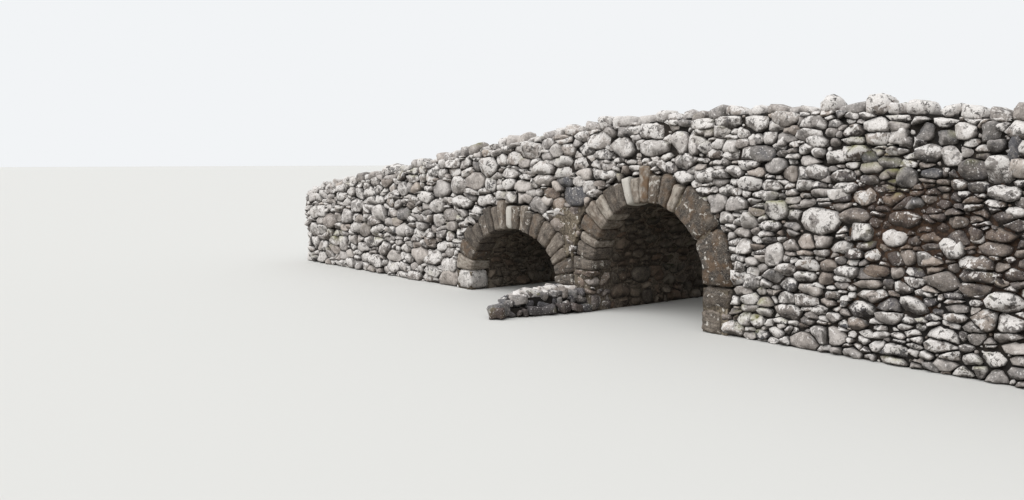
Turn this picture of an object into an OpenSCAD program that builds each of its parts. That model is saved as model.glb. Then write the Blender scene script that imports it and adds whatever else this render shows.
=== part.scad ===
// A small humpback road bridge of rubble stone, with two arches on one pier.
// X runs along the road, Y across it and Z up, all in millimetres. X = 0 is the
// crest of the road and Z = 0 is the level at which the pier and the walls start.
// The front is the -Y side. Left and right are as seen from there.

/* [Bridge] */
// Length of the bridge from end to end
bridge_length = 29300; // [27000:100:32000]
// Width over the outer faces of both walls
bridge_width = 4560; // [3800:20:6000]
// Thickness of the front wall and the back wall
wall_thickness = 480; // [380:10:600]
// Thickness of the wall that closes each end below the road
end_wall_thickness = 450; // [300:10:700]

/* [Road] */
// Slope that each approach settles to, as rise over run
approach_slope = 0.155; // [0.11:0.005:0.18]
// Length over which the crest is rounded off
crest_rounding = 5000; // [3500:100:7000]
// Thickness of the road's gravel
road_thickness = 120; // [80:5:200]
// Fill between the right vault's back and the gravel
crown_cover = 125; // [90:5:300]

/* [Parapets] */
// Height of the parapet above the road, without its coping
parapet_height = 600; // [400:10:900]
// Usual height of a coping stone
coping_height = 190; // [120:5:260]
// Usual length of a coping stone
coping_length = 480; // [360:10:700]
// Gap between two coping stones
coping_gap = 10; // [4:1:20]
// Usual distance of a coping stone's side from the wall's face
coping_inset = 15; // [5:1:40]

/* [Pier] */
// Centre of the pier, measured from the crest
pier_centre = -3850; // [-4500:10:-3200]
// Width of the pier between the two arches
pier_width = 1020; // [900:10:1300]

/* [Left arch] */
// Clear span of the left arch
left_span = 2640; // [2200:10:3000]
// Height of the left arch's springing above the foot of the pier
left_springing = 420; // [360:10:600]
// Rise of the left arch above its springing
left_rise = 940; // [800:10:1150]

/* [Right arch] */
// Clear span of the right arch
right_span = 2520; // [2200:10:3000]
// Height of the right arch's springing above the foot of the pier
right_springing = 740; // [600:10:900]
// Rise of the right arch above its springing
right_rise = 1260; // [1050:10:1400]
// Depth of the right arch's keystone
keystone_depth = 620; // [500:10:680]

/* [Ring stones] */
// Usual depth of a ring stone, and the thickness of the vaults
ring_depth = 500; // [400:10:560]
// How much a ring stone may be deeper or shallower than that
ring_roughness = 80; // [0:5:100]
// Usual width of a ring stone at the arch's soffit
ring_stone_width = 185; // [140:5:260]
// How far a ring stone or a jamb stone may stand out of the wall's face
ring_projection = 24; // [0:1:40]
// Joint between two ring stones, and round the rings and jambs
joint = 12; // [6:1:20]

/* [Abutments] */
// Length of each abutment behind its arch, along the road
abutment_length = 1100; // [900:10:1400]
// Height of the solid haunches above each springing
haunch_height = 350; // [250:10:500]
// Usual height of a jamb stone
jamb_course = 370; // [200:10:400]
// Length of the longer jamb stones
jamb_long = 560; // [450:10:700]
// Length of the shorter jamb stones
jamb_short = 400; // [300:10:500]

/* [Cutwaters] */
// Length of each cutwater, from the wall's face to its nose
cutwater_length = 1950; // [1500:10:2300]
// Height of the cutwater's lower course
cutwater_course = 240; // [160:5:280]
// Set-back of the upper course from the lower one
cutwater_step = 70; // [30:5:120]
// Distance from the cutwater's top up to the left springing
cutwater_drop = 10; // [5:5:60]
// Roundness of the cutwater's plan, from 1 for a wedge to 2 for an ellipse
cutwater_roundness = 1.4; // [1.1:0.1:2]

/* [Hidden] */

rubble = "#9a9892";
dressed = "#8a7e70";
earth = "#75695a";
gravel = "#a39d92";

// Distance between the points that the road's curve goes through
road_step = 500;
// Extra length that makes a cut run clear of what it cuts
over = 1;

left_end = -bridge_length / 2;
right_end = bridge_length / 2;
front_face = -bridge_width / 2;
inner_face = front_face + wall_thickness;
pier_left = pier_centre - pier_width / 2;
pier_right = pier_centre + pier_width / 2;

// An arch is its centre's x, half its span, its springing's height, its rise,
// its crown stone's depth, and -1 or 1 for left or right of the pier
left_arch = [pier_left - left_span / 2, left_span / 2, left_springing, left_rise, ring_depth, -1];
right_arch = [pier_right + right_span / 2, right_span / 2, right_springing, right_rise, keystone_depth, 1];
function centre(arch) = arch[0];
function half_span(arch) = arch[1];
function springing(arch) = arch[2];
function rise(arch) = arch[3];
function crown_stone(arch) = arch[4];
function side(arch) = arch[5];
// The abutment's face at the arch's opening, and its far end
function jamb_face(arch) = centre(arch) + side(arch) * half_span(arch);
function abutment_end(arch) = jamb_face(arch) + side(arch) * abutment_length;

// The walls, parapets and road each change section at the abutments' far ends
left_break = abutment_end(left_arch);
right_break = abutment_end(right_arch);

// The road is a hyperbola: round over the crest, nearly straight on the approaches
function drop(x) = approach_slope * (sqrt(x * x + crest_rounding * crest_rounding) - crest_rounding);
road_crest = springing(right_arch) + rise(right_arch) + ring_depth + crown_cover + road_thickness
    + drop(centre(right_arch));
function road_point(k) = road_crest - drop(k * road_step);
function road_z(x) =
    let (k = floor(x / road_step), part = x / road_step - k)
    road_point(k) * (1 - part) + road_point(k + 1) * part;
// Every x from one place to another at which the road changes slope
function stations(x0, x1) = concat(
    [x0], [for (k = [floor(x0 / road_step) + 1 : 1 : ceil(x1 / road_step) - 1]) k * road_step], [x1]
);

// The running sums of a list, from 0 to its total
function running(v) = [for (i = 0, sum = 0; i <= len(v); sum = sum + (i < len(v) ? v[i] : 0), i = i + 1) sum];
function total(v) = running(v)[len(v)];

// Places where coping stones meet, from x0 to x1
function coping_cuts(x0, x1, seed) =
    let (
        count = round((x1 - x0) / coping_length),
        sums = running(rands(0.6, 1.4, count, seed))
    )
    [for (sum = sums) x0 + (x1 - x0) * sum / sums[count]];

// How fast the soffit's ellipse is drawn at angle t, in millimetres per radian
function speed(arch, t) = sqrt(pow(rise(arch) * cos(t), 2) + pow(half_span(arch) * sin(t), 2));
// A point of the ring: at angle t along the soffit, then out square to it
function on_ring(arch, t, out) = [
    centre(arch) + half_span(arch) * cos(t) + out * rise(arch) * cos(t) / speed(arch, t),
    springing(arch) + rise(arch) * sin(t) + out * half_span(arch) * sin(t) / speed(arch, t)
];
// Length of the soffit, by the usual formula for half an ellipse
function soffit_length(arch) =
    let (a = half_span(arch), b = rise(arch))
    PI / 2 * (3 * (a + b) - sqrt((3 * a + b) * (a + 3 * b)));
// Angle at which a share of the soffit's length lies behind
function angle_at(arch, share) =
    let (a = half_span(arch), b = rise(arch))
    180 * share + 90 / PI * (a - b) / (a + b) * sin(360 * share);

// The stones of a ring from right to left, each as its two angles and its depth.
// The first ones may be given, as multiples of the usual width.
function ring_stones(arch, first, seed) =
    let (
        rest = round(soffit_length(arch) / ring_stone_width - total(first)),
        widths = concat(first, rands(0.75, 1.25, rest, seed)),
        sums = running(widths),
        count = len(widths),
        spread = rands(-ring_roughness, ring_roughness, count, seed + 1)
    )
    [for (i = [0 : count - 1])
        let (t0 = angle_at(arch, sums[i] / sums[count]), t1 = angle_at(arch, sums[i + 1] / sums[count]))
        [t0, t1, i == 0 || i == count - 1 ? ring_depth + ring_roughness
            : t0 < 90 && t1 >= 90 ? crown_stone(arch)
            : ring_depth + spread[i]]
    ];

// The stones at the foot of an abutment's corner, each as its length and its two heights
function jamb_stones(arch) =
    let (count = max(1, round(springing(arch) / jamb_course)), height = springing(arch) / count)
    [for (i = [0 : count - 1])
        [i % 2 == count % 2 ? jamb_short : jamb_long, i * height + (i > 0 ? joint : 0), (i + 1) * height]];

// Shapes drawn in elevation, with X to the right and Z up

module under_road(x0, x1, depth) {
    tops = stations(x0, x1);
    polygon(concat([[x1, 0], [x0, 0]], [for (x = tops) [x, road_z(x) - depth]]));
}

module elevation_box(x0, x1, z0, z1) {
    translate([min(x0, x1), z0]) square([abs(x1 - x0), z1 - z0]);
}

module beside_pier(arch, gap) {
    near = pier_centre + side(arch) * gap;
    intersection() {
        children();
        elevation_box(near, near + side(arch) * bridge_length, 0, road_crest);
    }
}

module opening(arch) {
    elevation_box(centre(arch) - half_span(arch), centre(arch) + half_span(arch), -over, springing(arch) + over);
    polygon([for (t = [0 : 5 : 180]) on_ring(arch, t, 0)]);
}

module pier_section() {
    polygon([
        [pier_left, 0], [pier_right, 0], [pier_right, springing(right_arch)],
        [pier_centre, springing(right_arch)], [pier_centre, springing(left_arch)],
        [pier_left, springing(left_arch)]
    ]);
}

// Everything of one arch below its haunches and its vault's back
module arch_mass(arch) {
    elevation_box(pier_centre, abutment_end(arch), -over, springing(arch) + haunch_height);
    beside_pier(arch, 0) polygon([for (t = [0 : 5 : 180]) on_ring(arch, t, ring_depth)]);
}

module vault_section(arch) {
    difference() {
        arch_mass(arch);
        elevation_box(left_end, right_end, -2 * over, springing(arch));
        polygon([for (t = [0 : 5 : 180]) on_ring(arch, t, 0)]);
    }
}

// One ring stone: its soffit follows the arch and its back is straight
module ring_stone(arch, stone, at_start, at_end) {
    t0 = stone[0] + (at_start ? 0 : 90 / PI * joint / speed(arch, stone[0]));
    t1 = stone[1] - (at_end ? 0 : 90 / PI * joint / speed(arch, stone[1]));
    steps = ceil((t1 - t0) / 5);
    soffit = [for (i = [0 : steps]) on_ring(arch, t0 + (t1 - t0) * i / steps, 0)];
    polygon(concat(soffit, [on_ring(arch, t1, stone[2]), on_ring(arch, t0, stone[2])]));
}

// The stepped bed that a spandrel leaves for a ring and what is under it
module ring_bed(arch, stones) {
    beside_pier(arch, 0) polygon([
        for (stone = stones, t = [stone[0], stone[1]]) on_ring(arch, t, stone[2] + joint)
    ]);
}

module spandrel_section(left_stones, right_stones) {
    difference() {
        under_road(left_break, right_break, 0);
        ring_bed(left_arch, left_stones);
        ring_bed(right_arch, right_stones);
        pier_section();
        for (arch = [left_arch, right_arch]) {
            opening(arch);
            for (stone = jamb_stones(arch))
                elevation_box(
                    jamb_face(arch), jamb_face(arch) + side(arch) * (stone[0] + joint),
                    stone[1] - joint, stone[2]
                );
        }
    }
}

// Solids made from those shapes

module elevation(y0, y1) {
    translate([0, y1, 0]) rotate([90, 0, 0]) linear_extrude(y1 - y0) children();
}

module in_wall(projection = 0) {
    elevation(front_face - projection, inner_face) children();
}

module between_walls() {
    elevation(inner_face, -inner_face) children();
}

module at_back() {
    mirror([0, 1, 0]) children();
}

module ring(arch, first, seed) {
    stones = ring_stones(arch, first, seed);
    last = len(stones) - 1;
    projections = rands(0, ring_projection, last + 1, seed + 2);
    color(dressed)
        for (i = [0 : last])
            in_wall(projections[i])
                beside_pier(arch, joint / 2)
                    ring_stone(arch, stones[i], i == 0, i == last);
}

module jamb(arch, seed) {
    stones = jamb_stones(arch);
    projections = rands(0, ring_projection, len(stones), seed);
    color(dressed)
        for (i = [0 : len(stones) - 1])
            in_wall(projections[i])
                elevation_box(
                    jamb_face(arch), jamb_face(arch) + side(arch) * stones[i][0], stones[i][1], stones[i][2]
                );
}

module spandrel(left_seed, right_first, right_seed) {
    color(rubble)
        in_wall()
            spandrel_section(
                ring_stones(left_arch, [], left_seed), ring_stones(right_arch, right_first, right_seed)
            );
}

module wing(x0, x1) {
    color(rubble) in_wall() under_road(x0, x1, 0);
}

module abutment(arch) {
    color(rubble) between_walls() elevation_box(jamb_face(arch), abutment_end(arch), 0, springing(arch));
}

module vault(arch) {
    color(dressed) between_walls() vault_section(arch);
}

module end_wall(x0, x1) {
    color(rubble) between_walls() under_road(x0, x1, road_thickness);
}

module road(x0, x1) {
    color(gravel)
        between_walls()
            difference() {
                under_road(x0, x1, 0);
                under_road(x0, x1, road_thickness);
                elevation_box(x0, x1, -over, over);
            }
}

// The parapet's bottom follows the road and its top carries the coping's beds
module parapet(x0, x1, seed) {
    bottom = [for (x = stations(x0, x1)) [x, road_z(x)]];
    cuts = coping_cuts(x0, x1, seed);
    top = [for (i = [len(cuts) - 1 : -1 : 0]) [cuts[i], road_z(cuts[i]) + parapet_height]];
    color(rubble) in_wall() polygon(concat(bottom, top));
}

// A rounded stone on a sloping bed from x0 to x1: three rings of eight points and
// a top. Each ring has its height and its size, both as shares of the stone's.
ring_levels = [0, 0.5, 0.88];
ring_sizes = [0.88, 1, 0.66];
ring_corners = 8;

function squarish(c) = sign(c) * pow(abs(c), 0.6);

module boulder(x0, x1, half_width, height, seed) {
    z0 = road_z(x0) + parapet_height;
    z1 = road_z(x1) + parapet_height;
    middle = (x0 + x1) / 2;
    half_length = (x1 - x0 - coping_gap) / 2;
    shares = rands(0.9, 1, 3 * ring_corners, seed);
    lean = rands(-0.2, 0.2, 2, seed + 1);
    function bed(x) = z0 + (z1 - z0) * (x - x0) / (x1 - x0);
    function corner(i, k) =
        let (
            angle = (k + 0.5) * 360 / ring_corners,
            size = ring_sizes[i] * shares[i * ring_corners + k],
            x = middle + half_length * size * squarish(cos(angle)),
            y = half_width * size * squarish(sin(angle))
        )
        [x, y, bed(x) + ring_levels[i] * height];
    top_x = middle + half_length * lean[0];
    points = concat(
        [for (i = [0 : 2], k = [0 : ring_corners - 1]) corner(i, k)],
        [[top_x, half_width * lean[1], bed(top_x) + height]]
    );
    peak = 3 * ring_corners;
    bed_face = [for (k = [0 : ring_corners - 1]) k];
    sides = [
        for (i = [0, 1], k = [0 : ring_corners - 1])
        let (a = i * ring_corners + k, b = i * ring_corners + (k + 1) % ring_corners)
        each [[a, a + ring_corners, b + ring_corners], [a, b + ring_corners, b]]
    ];
    cap = [for (k = [0 : ring_corners - 1]) [peak, 2 * ring_corners + (k + 1) % ring_corners, 2 * ring_corners + k]];
    polyhedron(points, concat([bed_face], sides, cap));
}

module coping(x0, x1, seed) {
    cuts = coping_cuts(x0, x1, seed);
    last = len(cuts) - 2;
    heights = rands(0.75, 1.35, last + 1, seed + 1);
    insets = rands(0.4, 1.6, last + 1, seed + 2);
    color(rubble)
        translate([0, front_face + wall_thickness / 2, 0])
            for (i = [0 : last])
                boulder(
                    cuts[i], cuts[i + 1], wall_thickness / 2 - coping_inset * insets[i],
                    coping_height * heights[i], seed + 10 + i
                );
}

// The cutwater's plan is half a superellipse, with its straight side on the pier
function cutwater_point(t, half_width, length) = [
    pier_centre + half_width * sign(cos(t)) * pow(abs(cos(t)), 2 / cutwater_roundness),
    front_face - length * pow(sin(t), 2 / cutwater_roundness)
];

module cutwater_tier(step, z0, z1) {
    translate([0, 0, z0])
        linear_extrude(z1 - z0)
            polygon([for (t = [0 : 7.5 : 180]) cutwater_point(t, pier_width / 2 - step, cutwater_length - 3 * step)]);
}

module cutwater() {
    color(rubble) {
        cutwater_tier(0, 0, cutwater_course);
        cutwater_tier(cutwater_step, cutwater_course, left_springing - cutwater_drop);
    }
}

// The three big stones at the right foot of the front right ring
big_stones = [1.4, 2.3, 2.4];

module left_abutment() abutment(left_arch);
module pier() color(rubble) elevation(front_face, -front_face) pier_section();
module right_abutment() abutment(right_arch);
module left_vault() vault(left_arch);
module right_vault() vault(right_arch);
module front_left_ring() ring(left_arch, [], 11);
module front_right_ring() ring(right_arch, big_stones, 23);
module back_left_ring() at_back() ring(left_arch, [], 37);
module back_right_ring() at_back() ring(right_arch, [], 41);
module front_left_jamb() jamb(left_arch, 5);
module front_right_jamb() jamb(right_arch, 6);
module back_left_jamb() at_back() jamb(left_arch, 7);
module back_right_jamb() at_back() jamb(right_arch, 8);
module front_spandrel() spandrel(11, big_stones, 23);
module back_spandrel() at_back() spandrel(37, [], 41);
module front_left_wing() wing(left_end, left_break);
module front_right_wing() wing(right_break, right_end);
module back_left_wing() at_back() front_left_wing();
module back_right_wing() at_back() front_right_wing();
module front_left_parapet() parapet(left_end, left_break, 100);
module front_middle_parapet() parapet(left_break, right_break, 200);
module front_right_parapet() parapet(right_break, right_end, 300);
module back_left_parapet() at_back() parapet(left_end, left_break, 400);
module back_middle_parapet() at_back() parapet(left_break, right_break, 500);
module back_right_parapet() at_back() parapet(right_break, right_end, 600);
module front_left_coping() coping(left_end, left_break, 100);
module front_middle_coping() coping(left_break, right_break, 200);
module front_right_coping() coping(right_break, right_end, 300);
module back_left_coping() at_back() coping(left_end, left_break, 400);
module back_middle_coping() at_back() coping(left_break, right_break, 500);
module back_right_coping() at_back() coping(right_break, right_end, 600);
module front_cutwater() cutwater();
module back_cutwater() at_back() cutwater();

module left_fill() {
    color(earth) between_walls() under_road(left_end + end_wall_thickness, left_break, road_thickness);
}

module middle_fill() {
    color(earth)
        between_walls()
            difference() {
                under_road(left_break, right_break, road_thickness);
                arch_mass(left_arch);
                arch_mass(right_arch);
            }
}

module right_fill() {
    color(earth) between_walls() under_road(right_break, right_end - end_wall_thickness, road_thickness);
}

module left_road() road(left_end, left_break);
module middle_road() road(left_break, right_break);
module right_road() road(right_break, right_end);
module left_end_wall() end_wall(left_end, left_end + end_wall_thickness);
module right_end_wall() end_wall(right_end - end_wall_thickness, right_end);

left_abutment();
pier();
right_abutment();
left_vault();
right_vault();
front_left_ring();
front_right_ring();
back_left_ring();
back_right_ring();
front_left_jamb();
front_right_jamb();
back_left_jamb();
back_right_jamb();
front_spandrel();
back_spandrel();
front_left_wing();
front_right_wing();
back_left_wing();
back_right_wing();
front_left_parapet();
front_middle_parapet();
front_right_parapet();
back_left_parapet();
back_middle_parapet();
back_right_parapet();
front_left_coping();
front_middle_coping();
front_right_coping();
back_left_coping();
back_middle_coping();
back_right_coping();
front_cutwater();
back_cutwater();
left_fill();
middle_fill();
right_fill();
left_road();
middle_road();
right_road();
left_end_wall();
right_end_wall();
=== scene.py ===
# %% [markdown]
# A humpback bridge of rubble stone
#
# The bridge is a small country bridge: two stone vaults on one pier, walls of
# unsquared fieldstone, rings of rough slabs round the arches, boulders along the
# parapets and packed gravel between them. What makes it look real is that each
# stone is a body of its own, with a deep dark joint round it. This lesson builds
# those stones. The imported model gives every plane, curve and height that they
# are set on, so nothing here has to be measured twice.

import math
from functools import partial

import bpy
import numpy as np
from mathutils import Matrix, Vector


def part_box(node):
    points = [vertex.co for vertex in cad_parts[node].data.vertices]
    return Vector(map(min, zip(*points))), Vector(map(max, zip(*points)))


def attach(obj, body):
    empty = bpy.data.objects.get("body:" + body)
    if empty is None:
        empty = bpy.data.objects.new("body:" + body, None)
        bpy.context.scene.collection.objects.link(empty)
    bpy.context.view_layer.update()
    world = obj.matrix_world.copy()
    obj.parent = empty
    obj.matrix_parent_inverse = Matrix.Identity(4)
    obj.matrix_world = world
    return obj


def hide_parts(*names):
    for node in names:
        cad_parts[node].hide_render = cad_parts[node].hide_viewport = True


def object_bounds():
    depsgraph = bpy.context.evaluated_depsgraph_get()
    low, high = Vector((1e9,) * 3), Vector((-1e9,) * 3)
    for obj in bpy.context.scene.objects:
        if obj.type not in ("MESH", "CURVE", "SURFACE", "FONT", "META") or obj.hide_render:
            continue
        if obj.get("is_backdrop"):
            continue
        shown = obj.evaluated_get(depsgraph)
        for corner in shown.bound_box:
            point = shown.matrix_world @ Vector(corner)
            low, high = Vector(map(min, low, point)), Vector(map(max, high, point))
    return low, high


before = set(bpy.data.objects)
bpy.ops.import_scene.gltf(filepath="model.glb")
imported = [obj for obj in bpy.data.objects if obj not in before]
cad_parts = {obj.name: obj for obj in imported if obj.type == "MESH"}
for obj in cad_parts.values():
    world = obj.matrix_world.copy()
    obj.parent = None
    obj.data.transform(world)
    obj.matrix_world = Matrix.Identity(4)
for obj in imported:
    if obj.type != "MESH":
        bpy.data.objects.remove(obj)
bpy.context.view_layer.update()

# %% [markdown]
# The camera
#
# The photograph was taken at eye height, right of the bridge's middle, looking
# along the wall to the left. The wall's courses give its vanishing point and the
# height of the horizon. From those come the lens, the place and the small
# downward tilt below, so the arches fall where the photograph has them.

# %% Camera
PHOTO_WIDTH_PX = 1024
LENS_PX = 958
SENSOR_MM = 36
CAMERA_PLACE = Vector((9.12, -14.02, 2.72))
CAMERA_HEADING = Vector((-0.7826, 0.6225, 0))
CAMERA_PITCH = math.radians(-5.37)

camera = bpy.data.objects.new("camera", bpy.data.cameras.new("camera"))
bpy.context.scene.collection.objects.link(camera)
bpy.context.scene.camera = camera
camera.data.sensor_width = SENSOR_MM
camera.data.lens = SENSOR_MM * LENS_PX / PHOTO_WIDTH_PX
camera.location = CAMERA_PLACE
looking = CAMERA_HEADING.normalized() * math.cos(CAMERA_PITCH) + Vector((0, 0, math.sin(CAMERA_PITCH)))
camera.rotation_euler = looking.to_track_quat("-Z", "Y").to_euler()
print("lens", round(camera.data.lens, 2), "mm")

# %% [markdown]
# Places that the model gives
#
# A CAD node's mesh holds its faces as loose triangles. Its corners are enough
# to read off the road's line, the parapet's top and each arch's ellipse. Where a
# node holds many stones, they are told apart by following shared corners.

# %% Corners and loose parts of a node
def corners_of(node):
    """All corners of a CAD node, one row each, in metres."""
    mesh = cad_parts[node].data
    co = np.zeros(len(mesh.vertices) * 3, np.float32)
    mesh.vertices.foreach_get("co", co)
    return co.reshape(-1, 3).astype(float)


def triangles_of(node):
    """The corner numbers of a CAD node's triangles, one row each."""
    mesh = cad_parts[node].data
    tri = np.zeros(len(mesh.polygons) * 3, np.int32)
    mesh.polygons.foreach_get("vertices", tri)
    return tri.reshape(-1, 3)


def loose_parts(node):
    """The solids of a node, each as its own corners. Corners at one place are made one, and
    then every triangle hands its lowest label to its corners until no label changes."""
    co = corners_of(node)
    _, same = np.unique(np.round(co, 4), axis=0, return_inverse=True)
    same = same.ravel()
    tri = same[triangles_of(node)]
    label = np.arange(same.max() + 1)
    while True:
        new = label.copy()
        np.minimum.at(new, tri, np.repeat(label[tri].min(axis=1, keepdims=True), 3, axis=1))
        new = new[new]
        if (new == label).all():
            break
        label = new
    part = label[same]
    return [co[part == k] for k in np.unique(part)]


# %% Lines of the road and of the parapets' tops
LENGTHS = ("left", "middle", "right")
WAYS = {"front": -1, "back": 1}  # which way each face of the bridge looks along y
TOUCH = 0.001  # a corner this near to a place counts as being there


def upper_line(*nodes):
    """The top edge of some nodes in elevation, as x values and the highest z at each."""
    co = np.concatenate([corners_of(n) for n in nodes])
    x = np.round(co[:, 0], 3)
    places = np.unique(x)
    tops = np.full(len(places), -1.0)
    np.maximum.at(tops, np.searchsorted(places, x), co[:, 2])
    return places, tops


road_x, road_top = upper_line(*(f"{side}_road" for side in LENGTHS))
LEFT_END, RIGHT_END = float(road_x[0]), float(road_x[-1])
LEFT_BREAK, RIGHT_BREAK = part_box("middle_road")[0].x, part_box("middle_road")[1].x
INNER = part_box("middle_road")[1].y
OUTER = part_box("pier")[1].y


def road_z(x):
    """Height of the road's surface at x."""
    return np.interp(x, road_x, road_top)


end_corners = corners_of("front_left_parapet")
end_corners = end_corners[end_corners[:, 0] < LEFT_END + TOUCH]
PARAPET_HEIGHT = float(np.ptp(end_corners[:, 2]))


def bed_z(x):
    """Height of the coping's bed at x."""
    return road_z(x) + PARAPET_HEIGHT


print("road from", LEFT_END, "to", RIGHT_END, "faces at y =", round(OUTER, 3), "and", round(INNER, 3))

# %% The two arches
pier_low, pier_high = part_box("pier")
PIER_MIDDLE = (pier_low.x + pier_high.x) / 2


def read_arch(vault, low_x, high_x, foot):
    """An arch's soffit as half an ellipse: its middle, half span, springing height and rise."""
    middle, half = (low_x + high_x) / 2, (high_x - low_x) / 2
    co = corners_of(vault)
    crown = float(co[np.abs(co[:, 0] - middle) < half * 0.05, 2].min())
    return {"x": middle, "a": half, "z": foot, "b": crown - foot, "side": np.sign(middle - PIER_MIDDLE)}


left_foot, right_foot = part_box("left_abutment"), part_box("right_abutment")
ARCHES = {
    "left": read_arch("left_vault", left_foot[1].x, pier_low.x, left_foot[1].z),
    "right": read_arch("right_vault", pier_high.x, right_foot[0].x, right_foot[1].z),
}
for name, arch in ARCHES.items():
    print(name, "arch", {k: round(float(v), 3) for k, v in arch.items()})


def pier_top(x):
    """Height of the pier's top, which steps at its middle from one arch's foot to the other's."""
    return np.where(x < PIER_MIDDLE, left_foot[1].z, right_foot[1].z)


def on_ring(arch, t, out):
    """A point of an arch in elevation: at angle t along the soffit's ellipse, from 0 at the right
    foot to pi at the left, then out square to it. The soffit is (a cos t, b sin t)."""
    speed = np.hypot(arch["b"] * np.cos(t), arch["a"] * np.sin(t))
    x = arch["x"] + arch["a"] * np.cos(t) + out * arch["b"] * np.cos(t) / speed
    z = arch["z"] + arch["b"] * np.sin(t) + out * arch["a"] * np.sin(t) / speed
    return x, z


def ring_place(arch, x, z):
    """The angle t and the distance out of a point, which undoes on_ring. The angle is where the
    line to the point stands square to the soffit. A few steps of slope over bend lead to it."""
    a, b = arch["a"], arch["b"]
    dx, dz = x - arch["x"], z - arch["z"]
    t = np.arctan2(dz * a, dx * b)
    for _ in range(5):
        px, pz = a * np.cos(t), b * np.sin(t)
        slope = (dx - px) * -a * np.sin(t) + (dz - pz) * b * np.cos(t)
        bend = -(a * np.sin(t)) ** 2 - (b * np.cos(t)) ** 2 - (dx - px) * px - (dz - pz) * pz
        t = t - slope / np.where(np.abs(bend) < 1e-6, -1e-6, bend)
    speed = np.hypot(b * np.cos(t), a * np.sin(t))
    out = ((dx - a * np.cos(t)) * b * np.cos(t) + (dz - b * np.sin(t)) * a * np.sin(t)) / speed
    return t, out


ON_SOFFIT = 0.02  # a corner that is less than this far out lies on the soffit


def read_ring(node, arch):
    """Each stone of a ring as its two angles, its depth and how far it reaches in y."""
    stones = []
    for co in loose_parts(node):
        t, out = ring_place(arch, co[:, 0], co[:, 2])
        soffit = out < ON_SOFFIT
        depth = np.median(out[~soffit])
        stones.append([t[soffit].min(), t[soffit].max(), depth, co[:, 1].min(), co[:, 1].max()])
    return np.array(sorted(stones))


# How many of the model's stones each slab takes, from the right foot on. The rest stay single.
WIDE_SLABS = {"left": (1, 1, 1, 1, 2), "right": (2, 2)}


def wide_slabs(rings, takes):
    """Joins neighbours of a ring into the broad slabs that the real one has. A joined slab runs
    from the first one's start to the last one's end, and is as deep as the deepest."""
    takes = np.array([*takes, *[1] * (len(rings) - sum(takes))])
    start = np.cumsum(takes) - takes
    return np.stack([
        rings[start, 0], rings[start + takes - 1, 1], np.maximum.reduceat(rings[:, 2], start),
        np.minimum.reduceat(rings[:, 3], start), np.maximum.reduceat(rings[:, 4], start),
    ], 1)


RINGS = {
    (face, side): wide_slabs(read_ring(f"{face}_{side}_ring", ARCHES[side]), WIDE_SLABS[side])
    for face in WAYS for side in ARCHES
}
print("ring stones:", {f"{k[0]} {k[1]}": len(v) for k, v in RINGS.items()})

# %% [markdown]
# Noise
#
# Broken stone is rough at every size. Value noise gives that: random heights on
# a grid of points, blended smoothly between them. Whole arrays of points are
# handled at once, and the random heights come from a hash of the grid's whole
# numbers, so the same point gives the same height in every run.

# %% Noise
def grid_value(ix, iy, iz, seed):
    """A random number from -1 to 1 for each whole-number point, by mixing its bits."""
    mix = (ix * 374761393 + iy * 668265263 + iz * 1440662683 + seed * 974634777).astype(np.uint32)
    mix = (mix ^ (mix >> np.uint32(13))) * np.uint32(1274126177)
    mix = mix ^ (mix >> np.uint32(16))
    return mix.astype(np.float64) / 2147483647.5 - 1


def noise(p, seed=0):
    """Smooth noise from -1 to 1 at points p, with one unit between its grid's points."""
    whole = np.floor(p)
    f = p - whole
    f = f * f * (3 - 2 * f)
    i = whole.astype(np.int64)
    total = 0
    for corner in range(8):
        cx, cy, cz = corner & 1, corner >> 1 & 1, corner >> 2 & 1
        weight = (
            np.where(cx, f[..., 0], 1 - f[..., 0])
            * np.where(cy, f[..., 1], 1 - f[..., 1])
            * np.where(cz, f[..., 2], 1 - f[..., 2])
        )
        total = total + weight * grid_value(i[..., 0] + cx, i[..., 1] + cy, i[..., 2] + cz, seed)
    return total

# %% [markdown]
# Laying rubble
#
# A mason fills a wall with stones of many sizes, each as near to its neighbours
# as it will go. A power diagram does the same: each stone has a middle and a
# reach, and owns the points that are nearest to it once its reach is allowed
# for. Moving each middle to the middle of what it owns, a few times over, packs
# them evenly. The walls are laid in a space squeezed along the course, so that
# the stones come out longer than high.
#
# A face of masonry is a flat or bent sheet with places u along it and v up it.
# Its place function puts (u, v) and a distance out of the wall into the bridge,
# and its inside function says where there is masonry.

# %% Searching near a point
def near(points, sites, reach):
    """For each point, the numbers of the sites in its own bin and the eight around it, with -1
    where a bin has fewer. Sites are sorted into square bins as wide as the reach."""
    low = np.minimum(points.min(0), sites.min(0)) - 1.5 * reach
    high = np.maximum(points.max(0), sites.max(0)) + 1.5 * reach
    rows = int((high[1] - low[1]) // reach) + 2
    columns = int((high[0] - low[0]) // reach) + 2

    def bin_of(p):
        return ((p[:, 0] - low[0]) // reach).astype(int) * rows + ((p[:, 1] - low[1]) // reach).astype(int)

    site_bin = bin_of(sites)
    order = np.argsort(site_bin, kind="stable")
    count = np.bincount(site_bin, minlength=rows * columns)
    start = np.cumsum(count) - count
    table = np.full((rows * columns, count.max()), -1)
    table[site_bin[order], np.arange(len(sites)) - start[site_bin[order]]] = order
    around = (np.arange(-1, 2)[:, None] * rows + np.arange(-1, 2)).ravel()
    return table[bin_of(points)[:, None] + around].reshape(len(points), -1)


AT_ONCE = 20000  # points searched at once, to spare memory


def in_batches(work, points):
    """The results of some work on many points, done a batch at a time."""
    return np.concatenate([work(batch) for batch in np.array_split(points, len(points) // AT_ONCE + 1)])


# %% Laying the stones of a face
JOINT = -0.006  # neighbours lap over each other a little, as broken stones do


def even_density(u, v):
    """A stone at every place of the grid."""
    return 1 + 0 * u


def even_joint(u, v):
    """The usual joint everywhere."""
    return JOINT + 0 * u


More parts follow.
